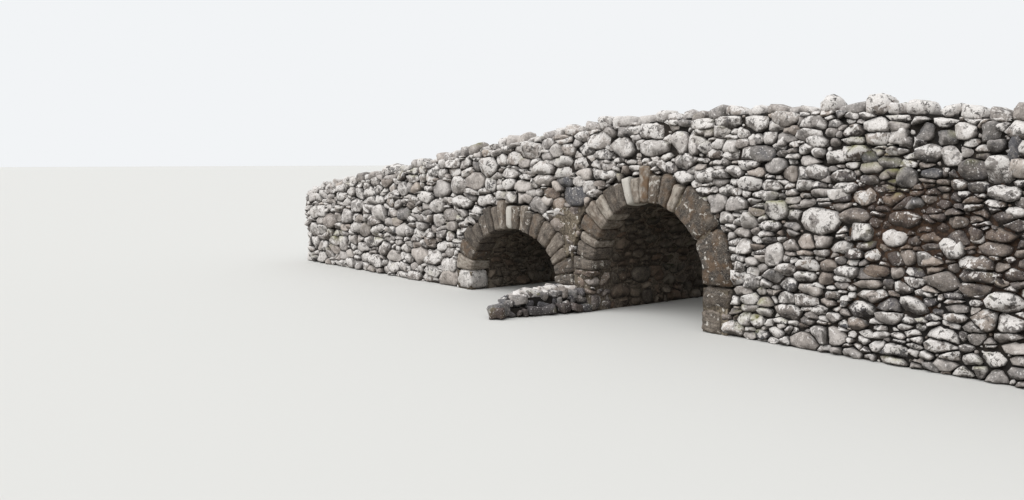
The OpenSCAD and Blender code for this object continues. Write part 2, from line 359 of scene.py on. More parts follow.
class Face:
    """A face of masonry: how it lies in the bridge, where it has stones, and of what size.
    Landmarks are stones that stay put, each as its middle, half its length and height, and its
    lightness, brownness and lichen. The share of places that have a stone, and the joint's width,
    may differ over the face."""

    def __init__(self, place, inside, extent, size, seed, stretch=1.75, spread=0.5, split=0.42,
                 landmarks=(), density=even_density, joint=even_joint):
        self.place, self.inside, self.extent = place, inside, extent
        self.size, self.squeeze = size, np.array([1 / stretch, 1])
        self.spread, self.split = spread, split
        self.rng = np.random.default_rng(seed)
        self.landmarks = np.array(landmarks, float).reshape(-1, 7)
        self.density, self.joint = density, joint

    def grid(self, step):
        """Points of a grid over the face, one step apart in the squeezed space."""
        u0, u1, v0, v1 = self.extent
        return np.meshgrid(np.arange(u0, u1, step / self.squeeze[0]), np.arange(v0, v1, step), indexing="ij")


def held_places(face):
    """Middles and reaches that keep a landmark's place free for it. Each landmark takes two, side
    by side or one on the other, and each as wide as the landmark's shorter half when squeezed."""
    middle, half = face.landmarks[:, :2] * face.squeeze, face.landmarks[:, 2:4] * face.squeeze
    reach = half.min(1) if len(half) else np.zeros(0)
    shift = np.where(half > reach[:, None], (half - reach[:, None]).clip(0.02), 0)
    return np.concatenate([middle - shift, middle + shift]), np.tile(reach, 2)


REACHES = (0.45, 2.1)  # the least and the most of a stone's reach, as shares of half its usual size
SAMPLES_ACROSS = 7  # samples across a stone's usual size, for finding what each stone owns
SEARCH = (2.2, 1.4)  # how far neighbours are looked for, in usual sizes and in the largest reach
ROUNDS = 4  # how many times the middles move
FEWEST = 3  # a stone that owns no more samples than this is left out
PAIR_REACH = 0.38  # places whose reach is over this share of the usual size may take two stones
PAIR_SHIFT = 0.42  # how far each of the two moves, as a share of the reach


def lay(face):
    """Middles and reaches of a face's stones. Middles start at random in the cells of a grid, and
    each round moves them to the middle of what they own. The places held for landmarks come
    first, and their number is given as well."""
    u, v = face.grid(face.size)
    jitter = face.rng.uniform(0, face.size, (2, *u.shape))
    u, v = u + jitter[0] / face.squeeze[0], v + jitter[1]
    free = face.inside(u, v) & (face.rng.uniform(size=u.shape) < face.density(u, v))
    held, held_reach = held_places(face)
    for mark_u, mark_v, half_u, half_v in face.landmarks[:, :4]:
        free &= np.hypot((u - mark_u) / half_u, (v - mark_v) / half_v) > 1
    sites = np.stack([u[free], v[free]], 1)
    reach = face.size * 0.5 * np.exp(face.rng.normal(0, face.spread, len(sites))).clip(*REACHES)
    reach = reach / np.sqrt(face.density(*sites.T))
    sites = np.concatenate([held, sites * face.squeeze])
    reach = np.concatenate([held_reach, reach])
    u, v = face.grid(face.size / SAMPLES_ACROSS)
    inside = face.inside(u, v)
    samples = np.stack([u[inside], v[inside]], 1) * face.squeeze
    search = max(face.size * SEARCH[0], reach.max() * SEARCH[1])
    fixed = np.arange(len(sites)) < len(held)

    def owner(points):
        """The stone that owns each point: least squared distance less the squared reach."""
        who = near(points, sites, search)
        gap = points[:, None] - sites[who]
        power = np.where(who < 0, np.inf, (gap ** 2).sum(-1) - reach[who] ** 2)
        return who[np.arange(len(points)), power.argmin(1)]

    for _ in range(ROUNDS):
        who = in_batches(owner, samples)
        owned = who >= 0
        count = np.bincount(who[owned], minlength=len(sites))
        middle = np.stack([np.bincount(who[owned], samples[owned, k], len(sites)) for k in (0, 1)], 1)
        sites = np.where(fixed[:, None], sites, middle / np.maximum(count, 1)[:, None])
        kept = (count > FEWEST) | fixed
        sites, reach, fixed = sites[kept], reach[kept], fixed[kept]
    # Some places take two flat stones, one on the other, and a few take two side by side
    draw = face.rng.uniform(size=len(sites))
    pair = ~fixed & (draw < face.split) & (reach > face.size * PAIR_REACH)
    lean = face.rng.normal(0, 0.25, len(sites)) + np.where(draw < face.split * 0.8, np.pi / 2, 0)
    shift = PAIR_SHIFT * (reach * pair)[:, None] * np.stack([np.cos(lean), np.sin(lean)], 1)
    sites = np.concatenate([sites - shift, (sites + shift)[pair]])
    reach = np.concatenate([reach, reach[pair]]) * (1 - 0.04 * np.concatenate([pair, pair[pair]]))
    return sites / face.squeeze, reach, search, len(held)


# %% Outlines of the stones
MARCH = 0.006  # the step in which the edge of a face is looked for
LEAST_REACH = 0.015  # no joint or edge is taken as nearer to a stone's middle than this
LARGEST_REACH = 0.7  # the edge of a face is looked for as far from a stone's middle as this
CLOSEST = 18  # how many of the nearest joints shape a stone


def to_edge(face, sites, angles):
    """How far the edge of the face is from each site at each angle, found by stepping outwards."""
    steps = np.arange(MARCH, LARGEST_REACH, MARCH)
    u = sites[:, :1, None] + np.cos(angles)[..., None] * steps
    v = sites[:, 1:, None] + np.sin(angles)[..., None] * steps
    clear = np.logical_and.accumulate(face.inside(u, v), axis=2).sum(2)
    edge = np.maximum(clear * MARCH - face.joint(*sites.T)[:, None] / 3, LEAST_REACH)
    return np.minimum(edge, (np.roll(edge, 1, 1) + np.roll(edge, -1, 1)) / 2 + 0.01)


def landmark_outlines(face, angles):
    """A landmark's outline is a superellipse of its own length and height, a little lopsided, and
    kept inside the face: the p-th powers of its shares along and up add up to one."""
    half = face.landmarks[:, 2:4]
    power = face.rng.uniform(2.3, 4.5, (len(half), 1))
    shares = (np.abs(np.cos(angles)) / half[:, :1]) ** power + (np.abs(np.sin(angles)) / half[:, 1:]) ** power
    starts = [face.rng.uniform(0, 6, (len(half), 1)) for _ in range(3)]
    lopsided = 1 + sum(0.05 * np.cos(k * (angles - start)) for k, start in zip((2, 3, 4), starts))
    return np.minimum(shares ** (-1 / power) * lopsided, to_edge(face, face.landmarks[:, :2], angles))


def outlines(face, sites, reach, search, angles):
    """How far each stone reaches from its middle at each angle. Each neighbour leaves a straight
    joint, and the face has its edge. The outline is a smooth curve inside them all: one over the
    p-th root of the sum of one over each limit's p-th power."""
    packed = sites * face.squeeze
    joint = face.joint(*sites.T)[:, None]
    who = near(packed, packed, search)
    own = (who < 0) | (who == np.arange(len(sites))[:, None])
    gap = packed[who] - packed[:, None]
    distance = np.where(own, 1, np.sqrt((gap ** 2).sum(-1)))
    line = (distance ** 2 + reach[:, None] ** 2 - reach[who] ** 2) / (2 * distance)
    normal = gap / distance[..., None] * face.squeeze
    length = np.where(own, 1, np.sqrt((normal ** 2).sum(-1)))
    line = np.where(own, 99, np.maximum(line / length - joint / 2, LEAST_REACH))
    normal = normal / length[..., None]
    closest = np.argsort(line, axis=1)[:, :CLOSEST]
    line = np.take_along_axis(line, closest, 1)[..., None]
    normal = np.take_along_axis(normal, closest[..., None], 1)
    facing = normal[..., :1] * np.cos(angles)[:, None] + normal[..., 1:] * np.sin(angles)[:, None]
    edge = to_edge(face, sites, angles)
    power = face.rng.uniform(8, 34, len(sites))[:, None]
    limits = (np.maximum(facing, 0) / line) ** power[..., None]
    return (limits.sum(1) + edge ** -power) ** (-1 / power)


# %% [markdown]
# The stones themselves
#
# A fieldstone in a wall shows a bulging face with a few broken planes on it, and
# its sides run back into the joint. Here each stone is a set of rings round its
# middle. The height of a ring follows a superellipse, so that the face is full
# and the edge turns over quickly. A few tilted planes, blended in by a smooth
# least of all, break the dome, and noise roughens it. Only their shared grid of
# faces is the same: a few dozen faces each, which is as many as such small
# bodies need.

# %% Faces of a stone
def stone_faces(turns, rings):
    """The faces of one stone: a fan round the middle corner, bands between the rings, and one
    face that closes the back."""
    this = np.arange(turns)
    following = (this + 1) % turns
    fan = np.stack([0 * this, 1 + this, 1 + following], 1)
    inner = 1 + np.arange(rings - 1)[:, None] * turns
    bands = np.stack([inner + this, inner + turns + this, inner + turns + following, inner + following], -1)
    back = (1 + (rings - 1) * turns + this)[::-1]
    return [fan, bands.reshape(-1, 4), back[None]]


# %% Bodies of the stones
RIM_DEPTH = 0.12  # how far a stone's sides run back behind the wall's face


def stone_bodies(sites, outline, angles, rings, rng, proud, rough):
    """Corners of many stones at once, as u, v and out, and each corner's share of the way to the
    rim. Proud is the least and the most that a stone's face may stand out."""
    count, turns = outline.shape
    size = outline.mean(1)
    angles = angles[:, None]

    def each(low, high):
        return rng.uniform(low, high, count)[:, None, None]

    share = np.concatenate([[0], rings])[None, :, None]
    dome = (1 - share ** each(4.0, 11.0)).clip(0, 1) ** each(0.3, 0.48)
    planes = [
        each(0.72, 1.06) - each(0.1, 0.85) * share * np.cos(angles - each(0, 2 * np.pi))
        for _ in range(5)
    ]
    sharpness = 26
    height = -np.log(sum(np.exp(-sharpness * h) for h in [dome, *planes])) / sharpness
    height = height / height[:, :1].mean(2, keepdims=True)
    # A few of the small stones have sunk back into the wall
    sunk = 0.045 * (rng.uniform(size=count) < 0.08) * (size < 0.1)
    lift = RIM_DEPTH + rng.uniform(*proud, count) + 0.2 * (size - 0.1).clip(-0.05, 0.2) - sunk
    out = height * lift[:, None, None] - RIM_DEPTH
    own = each(0, 50)[..., None]
    lobes = sum(0.03 * np.cos(k * (angles - each(0, 2 * np.pi))) for k in (2, 3, 5))
    reach = share * outline[:, None] * (each(0.96, 1.1) + lobes)
    co = np.stack([
        sites[:, :1, None] + reach * np.cos(angles),
        sites[:, 1:, None] + reach * np.sin(angles),
        out + 0 * reach,
    ], -1)
    bumps = 0.55 * noise(co * 10 + own) + 0.3 * noise(co * 24 + own, 1) + 0.15 * noise(co * 55 + own, 2)
    amount = (size * 0.24).clip(0.008, 0.045)[:, None, None] * rough
    inwards = 1 - 0.08 * (0.7 + noise(co * 16 + own, 3)) * share
    tilt = each(-0.16, 0.16) * reach * np.cos(angles - each(0, 2 * np.pi))
    co[..., 2] += bumps * amount * (1 - 0.5 * share) + tilt * (1 - share ** 8)
    co[..., :2] = sites[:, None, None] + (co[..., :2] - sites[:, None, None]) * inwards[..., None]
    co[:, 0, :, :] = co[:, 0, :1, :]
    corners = np.concatenate([co[:, 0, :1], co[:, 1:].reshape(count, -1, 3)], 1)
    edge = np.concatenate([[0], np.repeat(rings, turns)])
    return corners, np.broadcast_to(edge, corners.shape[:2])


# %% Small stones in the gaps
def gaps(face, sites, outline, angles, search, least, most):
    """Middles and reaches of the small stones that a mason drives into the gaps. The distance to
    the nearest stone's outline is measured on a fine grid, and its peaks are the gaps."""
    u, v = face.grid(least * 0.75)
    inside = face.inside(u, v)

    def clearance(points):
        who = near(points * face.squeeze, sites * face.squeeze, search)
        gap = points[:, None] - sites[who]
        turns = angles.shape[1]
        turn = (np.arctan2(gap[..., 1], gap[..., 0]) - angles[who, 0]) % (2 * np.pi) * turns / (2 * np.pi)
        low = turn.astype(int)
        part = turn - low
        rim = outline[who, low % turns] * (1 - part) + outline[who, (low + 1) % turns] * part
        return np.where(who < 0, np.inf, np.sqrt((gap ** 2).sum(-1)) - rim).min(1)

    clear = np.zeros(u.shape)
    clear[inside] = in_batches(clearance, np.stack([u[inside], v[inside]], 1))
    middle = clear[1:-1, 1:-1]
    peak = middle > least
    for du, dv in ((0, 1), (1, -1), (1, 0), (1, 1)):
        ahead = clear[1 + du:clear.shape[0] - 1 + du, 1 + dv:clear.shape[1] - 1 + dv]
        behind = clear[1 - du:clear.shape[0] - 1 - du, 1 - dv:clear.shape[1] - 1 - dv]
        peak &= (middle >= ahead) & (middle > behind)
    return np.stack([u[1:-1, 1:-1][peak], v[1:-1, 1:-1][peak]], 1), middle[peak].clip(least, most)


# %% Masonry of a face
# How fine the stones are: how many corners a ring has, and each ring's share of the way to the rim
FINE = (14, np.array([0.46, 0.76, 0.94, 1]))
PLAIN = (10, np.array([0.6, 0.92, 1]))
SMALL = (7, np.array([0.7, 1]))
PIN_PROUD = (-0.06, -0.02)  # the small stones in the gaps lie behind the faces of the others


def masonry(face, grain, proud=(-0.03, 0.04), pins=(0.02, 0.05), rough=1.0):
    """All the stones of a face as a list of batches, each with its middles, its corners in the
    bridge, their share of the way to the rim, and the faces that every stone in it has. The look
    is a landmark's own lightness, brownness and lichen, and not a number for other stones."""
    turns, rings = grain

    def turned(count, turns):
        """Evenly spaced angles for each stone, each stone from its own start."""
        start = face.rng.uniform(0, 2 * np.pi / turns, (count, 1))
        return start + np.arange(turns) * 2 * np.pi / turns

    sites, reach, search, held = lay(face)
    angles = turned(len(sites), turns)
    outline = outlines(face, sites, reach, search, angles)
    marks = face.landmarks
    mark_angles = turned(len(marks), turns)
    sites = np.concatenate([marks[:, :2], sites[held:]])
    outline = np.concatenate([landmark_outlines(face, mark_angles), outline[held:]])
    angles = np.concatenate([mark_angles, angles[held:]])
    batches = [(sites, outline, angles, rings, proud)]
    if pins:
        small, clear = gaps(face, sites, outline, angles, search, *pins)
        shape = clear[:, None] * face.rng.uniform(0.95, 1.4, (len(small), SMALL[0]))
        if len(small):
            batches.append((small, shape, turned(len(small), SMALL[0]), SMALL[1], PIN_PROUD))
    made = []
    for sites, outline, angles, rings, proud in batches:
        corners, edge = stone_bodies(sites, outline, angles, rings, face.rng, proud, rough)
        co = np.stack(face.place(corners[..., 0], corners[..., 1], corners[..., 2]), -1)
        # No stone reaches below the foot of the walls
        co[..., 2] = co[..., 2].clip(0.001)
        look = np.full((len(sites), 3), np.nan)
        if not made:
            look[:len(marks)] = marks[:, 4:]
        made.append({
            "middle": np.stack(face.place(sites[:, 0], sites[:, 1], 0), -1), "co": co, "look": look,
            "edge": edge, "faces": stone_faces(outline.shape[1], len(rings)),
        })
    return made

# %% [markdown]
# Finishes
#
# The stones are glacial fieldstone: granite and schist, rounded by ice, broken
# where they were split, and spotted with white crust lichen. One recipe makes
# them all. It takes what differs from stone to stone from a colour attribute on
# the corners: how light the stone is, how brown it is, how near its rim a corner
# is, and how much lichen it bears. The rest is noise on Object coordinates, and
# a shift by the stone's own lightness keeps the patterns of two neighbours from
# running into each other.

# %% Colours and nodes
def linear(hex_colour):
    """An sRGB colour such as #8a8781 as linear red, green, blue and alpha. Each channel is
    ((c + 0.055) / 1.055) to the power 2.4, or c / 12.92 where it is very dark."""
    channels = [int(hex_colour[i:i + 2], 16) / 255 for i in (1, 3, 5)]
    return (*[((c + 0.055) / 1.055) ** 2.4 if c > 0.04045 else c / 12.92 for c in channels], 1.0)


def put(tree, node, inputs):
    """Gives a node its inputs. One that is a socket is linked, and any other is set."""
    for key, value in inputs.items():
        if isinstance(value, bpy.types.NodeSocket):
            tree.links.new(value, node.inputs[key])
        else:
            node.inputs[key].default_value = value


def add(tree, kind, inputs=None, **settings):
    """Adds a node with its settings and its inputs."""
    made = tree.nodes.new("ShaderNode" + kind)
    for name, value in settings.items():
        setattr(made, name, value)
    put(tree, made, inputs or {})
    return made


def blend(tree, share, below, above):
    """Lays one colour over another by a share, and gives the resulting socket."""
    return add(tree, "Mix", {0: share, 6: below, 7: above}, data_type="RGBA").outputs[2]


def shade(tree, value, stops):
    """Turns a value into a colour along a ramp of places and colours."""
    ramp = add(tree, "ValToRGB", {"Fac": value})
    points = ramp.color_ramp.elements
    while len(points) < len(stops):
        points.new(0.5)
    for point, (place, colour) in zip(points, stops):
        point.position, point.color = place, linear(colour)
    return ramp.outputs["Color"]


def span(tree, value, low, high, to_low=0.0, to_high=1.0):
    """Turns the range from low to high into another one, and holds it at both ends."""
    given = {"Value": value, "From Min": low, "From Max": high, "To Min": to_low, "To Max": to_high}
    return add(tree, "MapRange", given).outputs["Result"]


def sums(tree, operation, first, second=0.0):
    """One step of arithmetic on two values."""
    return add(tree, "Math", {0: first, 1: second}, operation=operation).outputs[0]


MM = 0.001


def grain_of(tree, where, size_mm, detail=3.0, roughness=0.55, distortion=0.0):
    """Noise whose blotches are about so many millimetres across."""
    given = {"Vector": where, "Scale": 0.5 / (size_mm * MM), "Detail": detail, "Roughness": roughness,
             "Distortion": distortion}
    return add(tree, "TexNoise", given).outputs["Fac"]


def drift(tree, grain, amount):
    """Noise as a shift up or down, by so much at most."""
    return span(tree, grain, 0.3, 0.7, -amount, amount)


def relief(tree, grain, strength, depth_mm, on=None):
    """A bump made of noise, by its strength and its depth, on top of another bump if one is given."""
    given = {"Height": grain, "Strength": strength, "Distance": depth_mm * MM}
    if on is not None:
        given["Normal"] = on
    return add(tree, "Bump", given).outputs[0]


def new_finish(name):
    """A new material, its tree and its shader."""
    material = bpy.data.materials.new(name)
    material.use_nodes = True
    tree = material.node_tree
    return material, tree, tree.nodes["Principled BSDF"]


# %% Fieldstone
def stone_inputs(tree):
    """The stone's lightness, brownness, rim share and lichen, and its own shifted coordinates."""
    given = add(tree, "Attribute", attribute_name="stone")
    parts = add(tree, "SeparateColor", {"Color": given.outputs["Color"]})
    tone, hue, rim = parts.outputs
    by_tone, by_hue = sums(tree, "MULTIPLY", tone, 9), sums(tree, "MULTIPLY", hue, 7)
    shift = add(tree, "CombineXYZ", {"X": by_tone, "Y": by_hue})
    where = add(tree, "TexCoord").outputs["Object"]
    own = add(tree, "VectorMath", {0: where, 1: shift.outputs[0]}, operation="ADD").outputs[0]
    return tone, hue, rim, given.outputs["Alpha"], own, where


def fieldstone_finish(name, greys, browns, dirt_and_shade, lichen_colour, moss):
    """Weathered fieldstone. The greys are four colours and the browns three, from dark to light. The dark
    colour makes the dark spots, the painted shade on undersides, and the rims' mix of earth and painted
    shade.
    """
    material, tree, shader = new_finish(name)
    tone, hue, rim, lichen, own, where = stone_inputs(tree)
    mottle = grain_of(tree, own, 80, 5, 0.7)
    value = sums(tree, "ADD", tone, drift(tree, mottle, 0.35))
    grey = shade(tree, value, list(zip((0.0, 0.3, 0.55, 0.85), greys)))
    brown = shade(tree, value, list(zip((0.05, 0.5, 0.95), browns)))
    colour = blend(tree, hue, grey, brown)
    crystals = grain_of(tree, own, 9, 2, 0.7)
    colour = blend(tree, span(tree, crystals, 0.55, 0.75, 0, 0.45), colour, linear(greys[-1]))
    colour = blend(tree, span(tree, crystals, 0.45, 0.25, 0, 0.5), colour, linear(greys[0]))
    # Crust lichen grows in crisp white rosettes, up to a hand's width across
    patches = grain_of(tree, own, 70, 6, 0.66, 0.4)
    upward = add(tree, "SeparateXYZ", {0: add(tree, "NewGeometry").outputs["Normal"]}).outputs["Z"]
    # It likes light, so it is thicker on what faces up
    limit = span(tree, lichen, 0.0, 1.0, 0.7, 0.4)
    limit = sums(tree, "ADD", limit, span(tree, upward, -0.6, 0.6, 0.06, -0.04))
    covered = span(tree, sums(tree, "SUBTRACT", patches, limit), 0.0, 0.025)
    crust = blend(tree, span(tree, crystals, 0.35, 0.65), linear(greys[-1]), linear(lichen_colour))
    colour = blend(tree, covered, colour, crust)
    dots = grain_of(tree, where, 16, 1, 0.5)
    colour = blend(tree, span(tree, dots, 0.66, 0.7, 0, 0.7), colour, linear(lichen_colour))
    # Black lichen and pits show as dark spots, most of all on stones with white crust
    spots = grain_of(tree, own, 44, 4, 0.7, 0.5)
    dark = sums(tree, "MULTIPLY", span(tree, spots, 0.55, 0.61), span(tree, lichen, 0, 1, 0.2, 0.9))
    colour = blend(tree, dark, colour, linear(dirt_and_shade))
    # Painted shade: the faces that look down are darkened, as the undersides of the stones lie in shade
    under = span(tree, sums(tree, "ADD", upward, drift(tree, mottle, 0.15)), -0.25, -0.8, 0, 0.7)
    colour = blend(tree, under, colour, linear(dirt_and_shade))
    # Moss takes damp patches of what faces up
    damp = span(tree, grain_of(tree, where, 320, 4), 0.58, 0.7)
    mossy = sums(tree, "MULTIPLY", span(tree, upward, -0.3, 0.7), damp)
    colour = blend(tree, sums(tree, "MULTIPLY", mossy, 0.65), colour, linear(moss))
    # Near its rim a stone is darkened: partly earth from the joint, partly painted shade of the joint
    rim_earth_and_shade = sums(tree, "ADD", rim, drift(tree, mottle, 0.07))
    colour = blend(tree, span(tree, rim_earth_and_shade, 0.9, 1.0, 0, 0.7), colour, linear(dirt_and_shade))
    pitted = relief(tree, grain_of(tree, own, 6, 3, 0.6), 0.5, 3)
    broken = relief(tree, grain_of(tree, own, 22, 4, 0.6), 0.8, 14, pitted)
    roughness = span(tree, covered, 0, 1, 0.82, 0.95)
    put(tree, shader, {"Base Color": colour, "Normal": broken, "Roughness": roughness})
    return material


# Granite fieldstone worn by ice: mottled grey, matt, and white where crust lichen covers it
FIELDSTONE = fieldstone_finish(
    "fieldstone_with_lichen",
    ("#56565a", "#86827f", "#aba5a1", "#d2ccc7"), ("#5c4c42", "#93806f", "#b9a797"),
    "#2b2622", "#efebe7", "#77762f",
)
# The same stone under the vaults, darker and browner in all its colours, its lichen too:
# partly damp, partly painted shade of the vaults. It bears little lichen
DAMP_SHADED_STONE = fieldstone_finish(
    "damp_shaded_fieldstone",
    ("#403d38", "#5e574f", "#787064", "#938a7d"), ("#473b30", "#69584a", "#866f5e"),
    "#171412", "#8d877b", "#4c5228",
)

# %% Joints, mortar and fill
LICHEN_SPOT = "#dcd7ce"


def packed_finish(name, colours, size_mm, depth_mm, uneven=0.2, spotted=0.0):
    """Loose or packed stuff of small grains, in three colours, with its grains' size and relief,
    how much its lightness drifts over fourteen grains, and how white its spots of lichen are."""
    material, tree, shader = new_finish(name)
    where = add(tree, "TexCoord").outputs["Object"]
    drifting = drift(tree, grain_of(tree, where, size_mm * 14, 3), uneven)
    value = sums(tree, "ADD", grain_of(tree, where, size_mm, 2, 0.6), drifting)
    colour = shade(tree, value, list(zip((0.3, 0.5, 0.7), colours)))
    if spotted:
        spots = grain_of(tree, where, 42, 3, 0.6, 0.3)
        colour = blend(tree, span(tree, spots, 0.62, 0.65, 0, spotted), colour, linear(LICHEN_SPOT))
    lumps = relief(tree, grain_of(tree, where, size_mm * 1.3, 4, 0.65), 0.9, depth_mm)
    put(tree, shader, {"Base Color": colour, "Normal": lumps, "Roughness": 0.95})
    return material


# Earth deep in dry joints: nearly black, so that each stone has a dark line round it
JOINT_EARTH = packed_finish("earth_in_joints", ("#120f0d", "#1e1a16", "#302821"), 12, 12)
# Lime mortar smeared on by hand and weathered: lumpy and grey-brown, with white spots of lichen
MORTAR = packed_finish("smeared_lime_mortar", ("#4a4239", "#6d6355", "#978b79"), 22, 14, spotted=0.8)
# The same mortar under the arches, where it is bare and no lichen grows
DAMP_MORTAR = packed_finish("damp_lime_mortar", ("#4a4239", "#6b6156", "#91877a"), 22, 14)
# Earth that iron has stained: a dull red-brown crust between the stones
RUSTY_EARTH = packed_finish("rusty_earth_in_joints", ("#211813", "#38291f", "#543f30"), 26, 24)
# Rammed earth of the fill: an even, dull brown
PACKED_EARTH = packed_finish("packed_earth_fill", ("#4f4437", "#6d5f4d", "#877864"), 16, 12)
# Gravel packed down by wheels: pale grey, with chips of light and dark
GRAVEL = packed_finish("packed_gravel", ("#6f6a61", "#968f83", "#b7b0a3"), 18, 9, 0.07)

# %% [markdown]
# Ring slabs
#
# The arches are turned in rough slabs of schist, set on edge. They split along
# their length, so each shows streaks that run out from the opening, and iron in
# the stone weeps rust. The streaks follow the slab, not the bridge, so they
# read an attribute that holds a place along the ring, out from it, and across.

# %% Schist of the rings
DARK_LINE, THIN_LICHEN, RIM_DIRT_AND_SHADE = "#231e1a", "#d2cdc4", "#2a241f"


def schist_finish(name, tones, rust):
    """Split schist with streaks along each slab, iron stains and thin lichen."""
    material, tree, shader = new_finish(name)
    tone, hue, rim, lichen, own, _ = stone_inputs(tree)
    slab = add(tree, "Attribute", attribute_name="slab").outputs["Vector"]
    drawn = add(tree, "Mapping", {"Vector": slab, "Scale": (1, 0.28, 0.6)}).outputs[0]
    streaks = grain_of(tree, drawn, 26, 5, 0.7)
    mottle = grain_of(tree, own, 70, 5, 0.7)
    shift = sums(tree, "ADD", drift(tree, streaks, 0.3), drift(tree, mottle, 0.22))
    value = sums(tree, "ADD", tone, shift)
    colour = shade(tree, value, list(zip((0.0, 0.35, 0.65, 1.0), tones)))
    # Thin dark lines where a slab has begun to split
    lines = sums(tree, "ABSOLUTE", sums(tree, "SUBTRACT", grain_of(tree, drawn, 65, 3, 0.5), 0.5))
    colour = blend(tree, span(tree, lines, 0.0, 0.022, 0.4, 0.0), colour, linear(DARK_LINE))
    crystals = grain_of(tree, own, 9, 2, 0.7)
    colour = blend(tree, span(tree, crystals, 0.52, 0.72, 0, 0.45), colour, linear(tones[-1]))
    colour = blend(tree, span(tree, crystals, 0.46, 0.28, 0, 0.45), colour, linear(tones[0]))
    stain = grain_of(tree, own, 90, 4, 0.6)
    rusty = sums(tree, "MULTIPLY", span(tree, stain, 0.45, 0.62), hue)
    colour = blend(tree, rusty, colour, linear(rust))
    patches = grain_of(tree, own, 50, 6, 0.66, 0.4)
    limit = span(tree, lichen, 0.0, 1.0, 0.72, 0.35)
    covered = span(tree, sums(tree, "SUBTRACT", patches, limit), 0.0, 0.04)
    colour = blend(tree, sums(tree, "MULTIPLY", covered, 0.9), colour, linear(THIN_LICHEN))
    # Slab rims are darkened: partly dirt, partly painted shade of the joints between the slabs
    colour = blend(tree, span(tree, rim, 0.85, 1.0, 0, 0.4), colour, linear(RIM_DIRT_AND_SHADE))
    split = relief(tree, streaks, 0.7, 8)
    broken = relief(tree, grain_of(tree, own, 45, 5, 0.65), 0.9, 24, split)
    put(tree, shader, {"Base Color": colour, "Normal": broken, "Roughness": 0.88})
    return material


# Schist split along its layers: brown-grey and matt, with streaks along each slab
SCHIST = schist_finish("split_schist", ("#302b28", "#5b534b", "#857a6f", "#b9b0a4"), "#786049")
print("finishes:", [m.name for m in bpy.data.materials])

# %% [markdown]
# From arrays to pieces
#
# A wall is one piece: a dark core with all its stones in it, joined into one
# mesh. Arrays go straight into the mesh, which takes seconds where a loop would
# take minutes. The core is a copy of the node's own solid, with its open faces
# drawn back, so the joints are as deep as a finger is long.

# %% One piece from many parts
def make_piece(name, slot, parts, *nodes):
    """One object out of parts, each its corners, its groups of faces, its finish, which groups are
    smooth, and its colour and slab attributes. It stands for the CAD nodes that are named."""
    mesh = bpy.data.meshes.new(name)
    finishes = list(dict.fromkeys(part["finish"] for part in parts))
    for finish in finishes:
        mesh.materials.append(finish)
    first = np.cumsum([0] + [len(part["co"]) for part in parts])
    faces = [(group + start, finishes.index(part["finish"]))
             for part, start in zip(parts, first) for group in part["faces"]]
    corners = np.concatenate([group.ravel() for group, _ in faces])
    sizes = np.concatenate([np.full(len(group), group.shape[1]) for group, _ in faces])
    mesh.vertices.add(first[-1])
    mesh.vertices.foreach_set("co", np.concatenate([part["co"] for part in parts]).astype(np.float32).ravel())
    mesh.loops.add(len(corners))
    mesh.loops.foreach_set("vertex_index", corners.astype(np.int32))
    mesh.polygons.add(len(sizes))
    mesh.polygons.foreach_set("loop_start", (np.cumsum(sizes) - sizes).astype(np.int32))
    mesh.polygons.foreach_set("loop_total", sizes.astype(np.int32))
    finish_of = np.concatenate([np.full(len(group), index) for group, index in faces])
    mesh.polygons.foreach_set("material_index", finish_of.astype(np.int32))
    smooth = np.concatenate([np.full(len(group), is_smooth) for part in parts
                             for group, is_smooth in zip(part["faces"], part.get("smooth", [True] * 3))])
    mesh.polygons.foreach_set("use_smooth", smooth)
    for key, kind, width in (("stone", "FLOAT_COLOR", 4), ("slab", "FLOAT_VECTOR", 3)):
        if any(key in part for part in parts):
            rows = [part.get(key, np.full((len(part["co"]), width), 0.5)) for part in parts]
            layer = mesh.attributes.new(key, kind, "POINT")
            layer.data.foreach_set("color" if width == 4 else "vector",
                                   np.concatenate(rows).astype(np.float32).ravel())
    mesh.update(calc_edges=True)
    piece = bpy.data.objects.new(name, mesh)
    bpy.context.scene.collection.objects.link(piece)
    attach(piece, "root")
    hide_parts(*nodes)
    print(f"{name}: {int((sizes - 2).sum())} triangles")


# %% Cores
CORE_DEPTH = 0.09  # how far a core lies behind the wall's face


def core(node, finish, *moves, bend=None):
    """A merged copy of a node's solid, with some faces drawn back. A move is an axis, a place on
    it and a new place: corners at the one go to the other."""
    co = corners_of(node)
    co, same = np.unique(np.round(co, 5), axis=0, return_inverse=True)
    tri = same.ravel()[triangles_of(node)]
    moved = co.copy()
    for axis, at, to in moves:
        moved[np.abs(co[:, axis] - at) < TOUCH, axis] = to
    if bend:
        moved = bend(moved)
    return {"co": moved, "faces": [tri], "finish": finish, "smooth": [False]}


def drawn_in(*sides, depth=CORE_DEPTH):
    """Moves that draw faces back towards the middle of the wall between them. A side is an axis
    and a place, with -1 or 1 for the way that its face looks."""
    return [(axis, at, at - way * depth) for axis, at, way in sides]


# %% Sheets
def closed_sheet(above, below, quads, finish):
    """A sheet with a back. The back repeats the faces turned round, and every edge that only one
    face has gets a face that joins it to the back."""
    count = len(above)
    edges = np.concatenate([quads[:, [k, (k + 1) % 4]] for k in range(4)])
    paired = np.isin(edges[:, 0] * count + edges[:, 1], edges[:, 1] * count + edges[:, 0])
    start, end = edges[~paired].T
    sides = np.stack([end, start, start + count, end + count], 1)
    return {"co": np.concatenate([above, below]), "faces": [quads, quads[:, ::-1] + count, sides],
            "finish": finish, "smooth": [True, True, False]}


def sheet_quads(rows, columns):
    """Faces of a grid of corners, numbered along its columns first."""
    n = (np.arange(rows - 1)[:, None] * columns + np.arange(columns - 1)).ravel()
    return np.stack([n, n + columns, n + columns + 1, n + 1], 1)


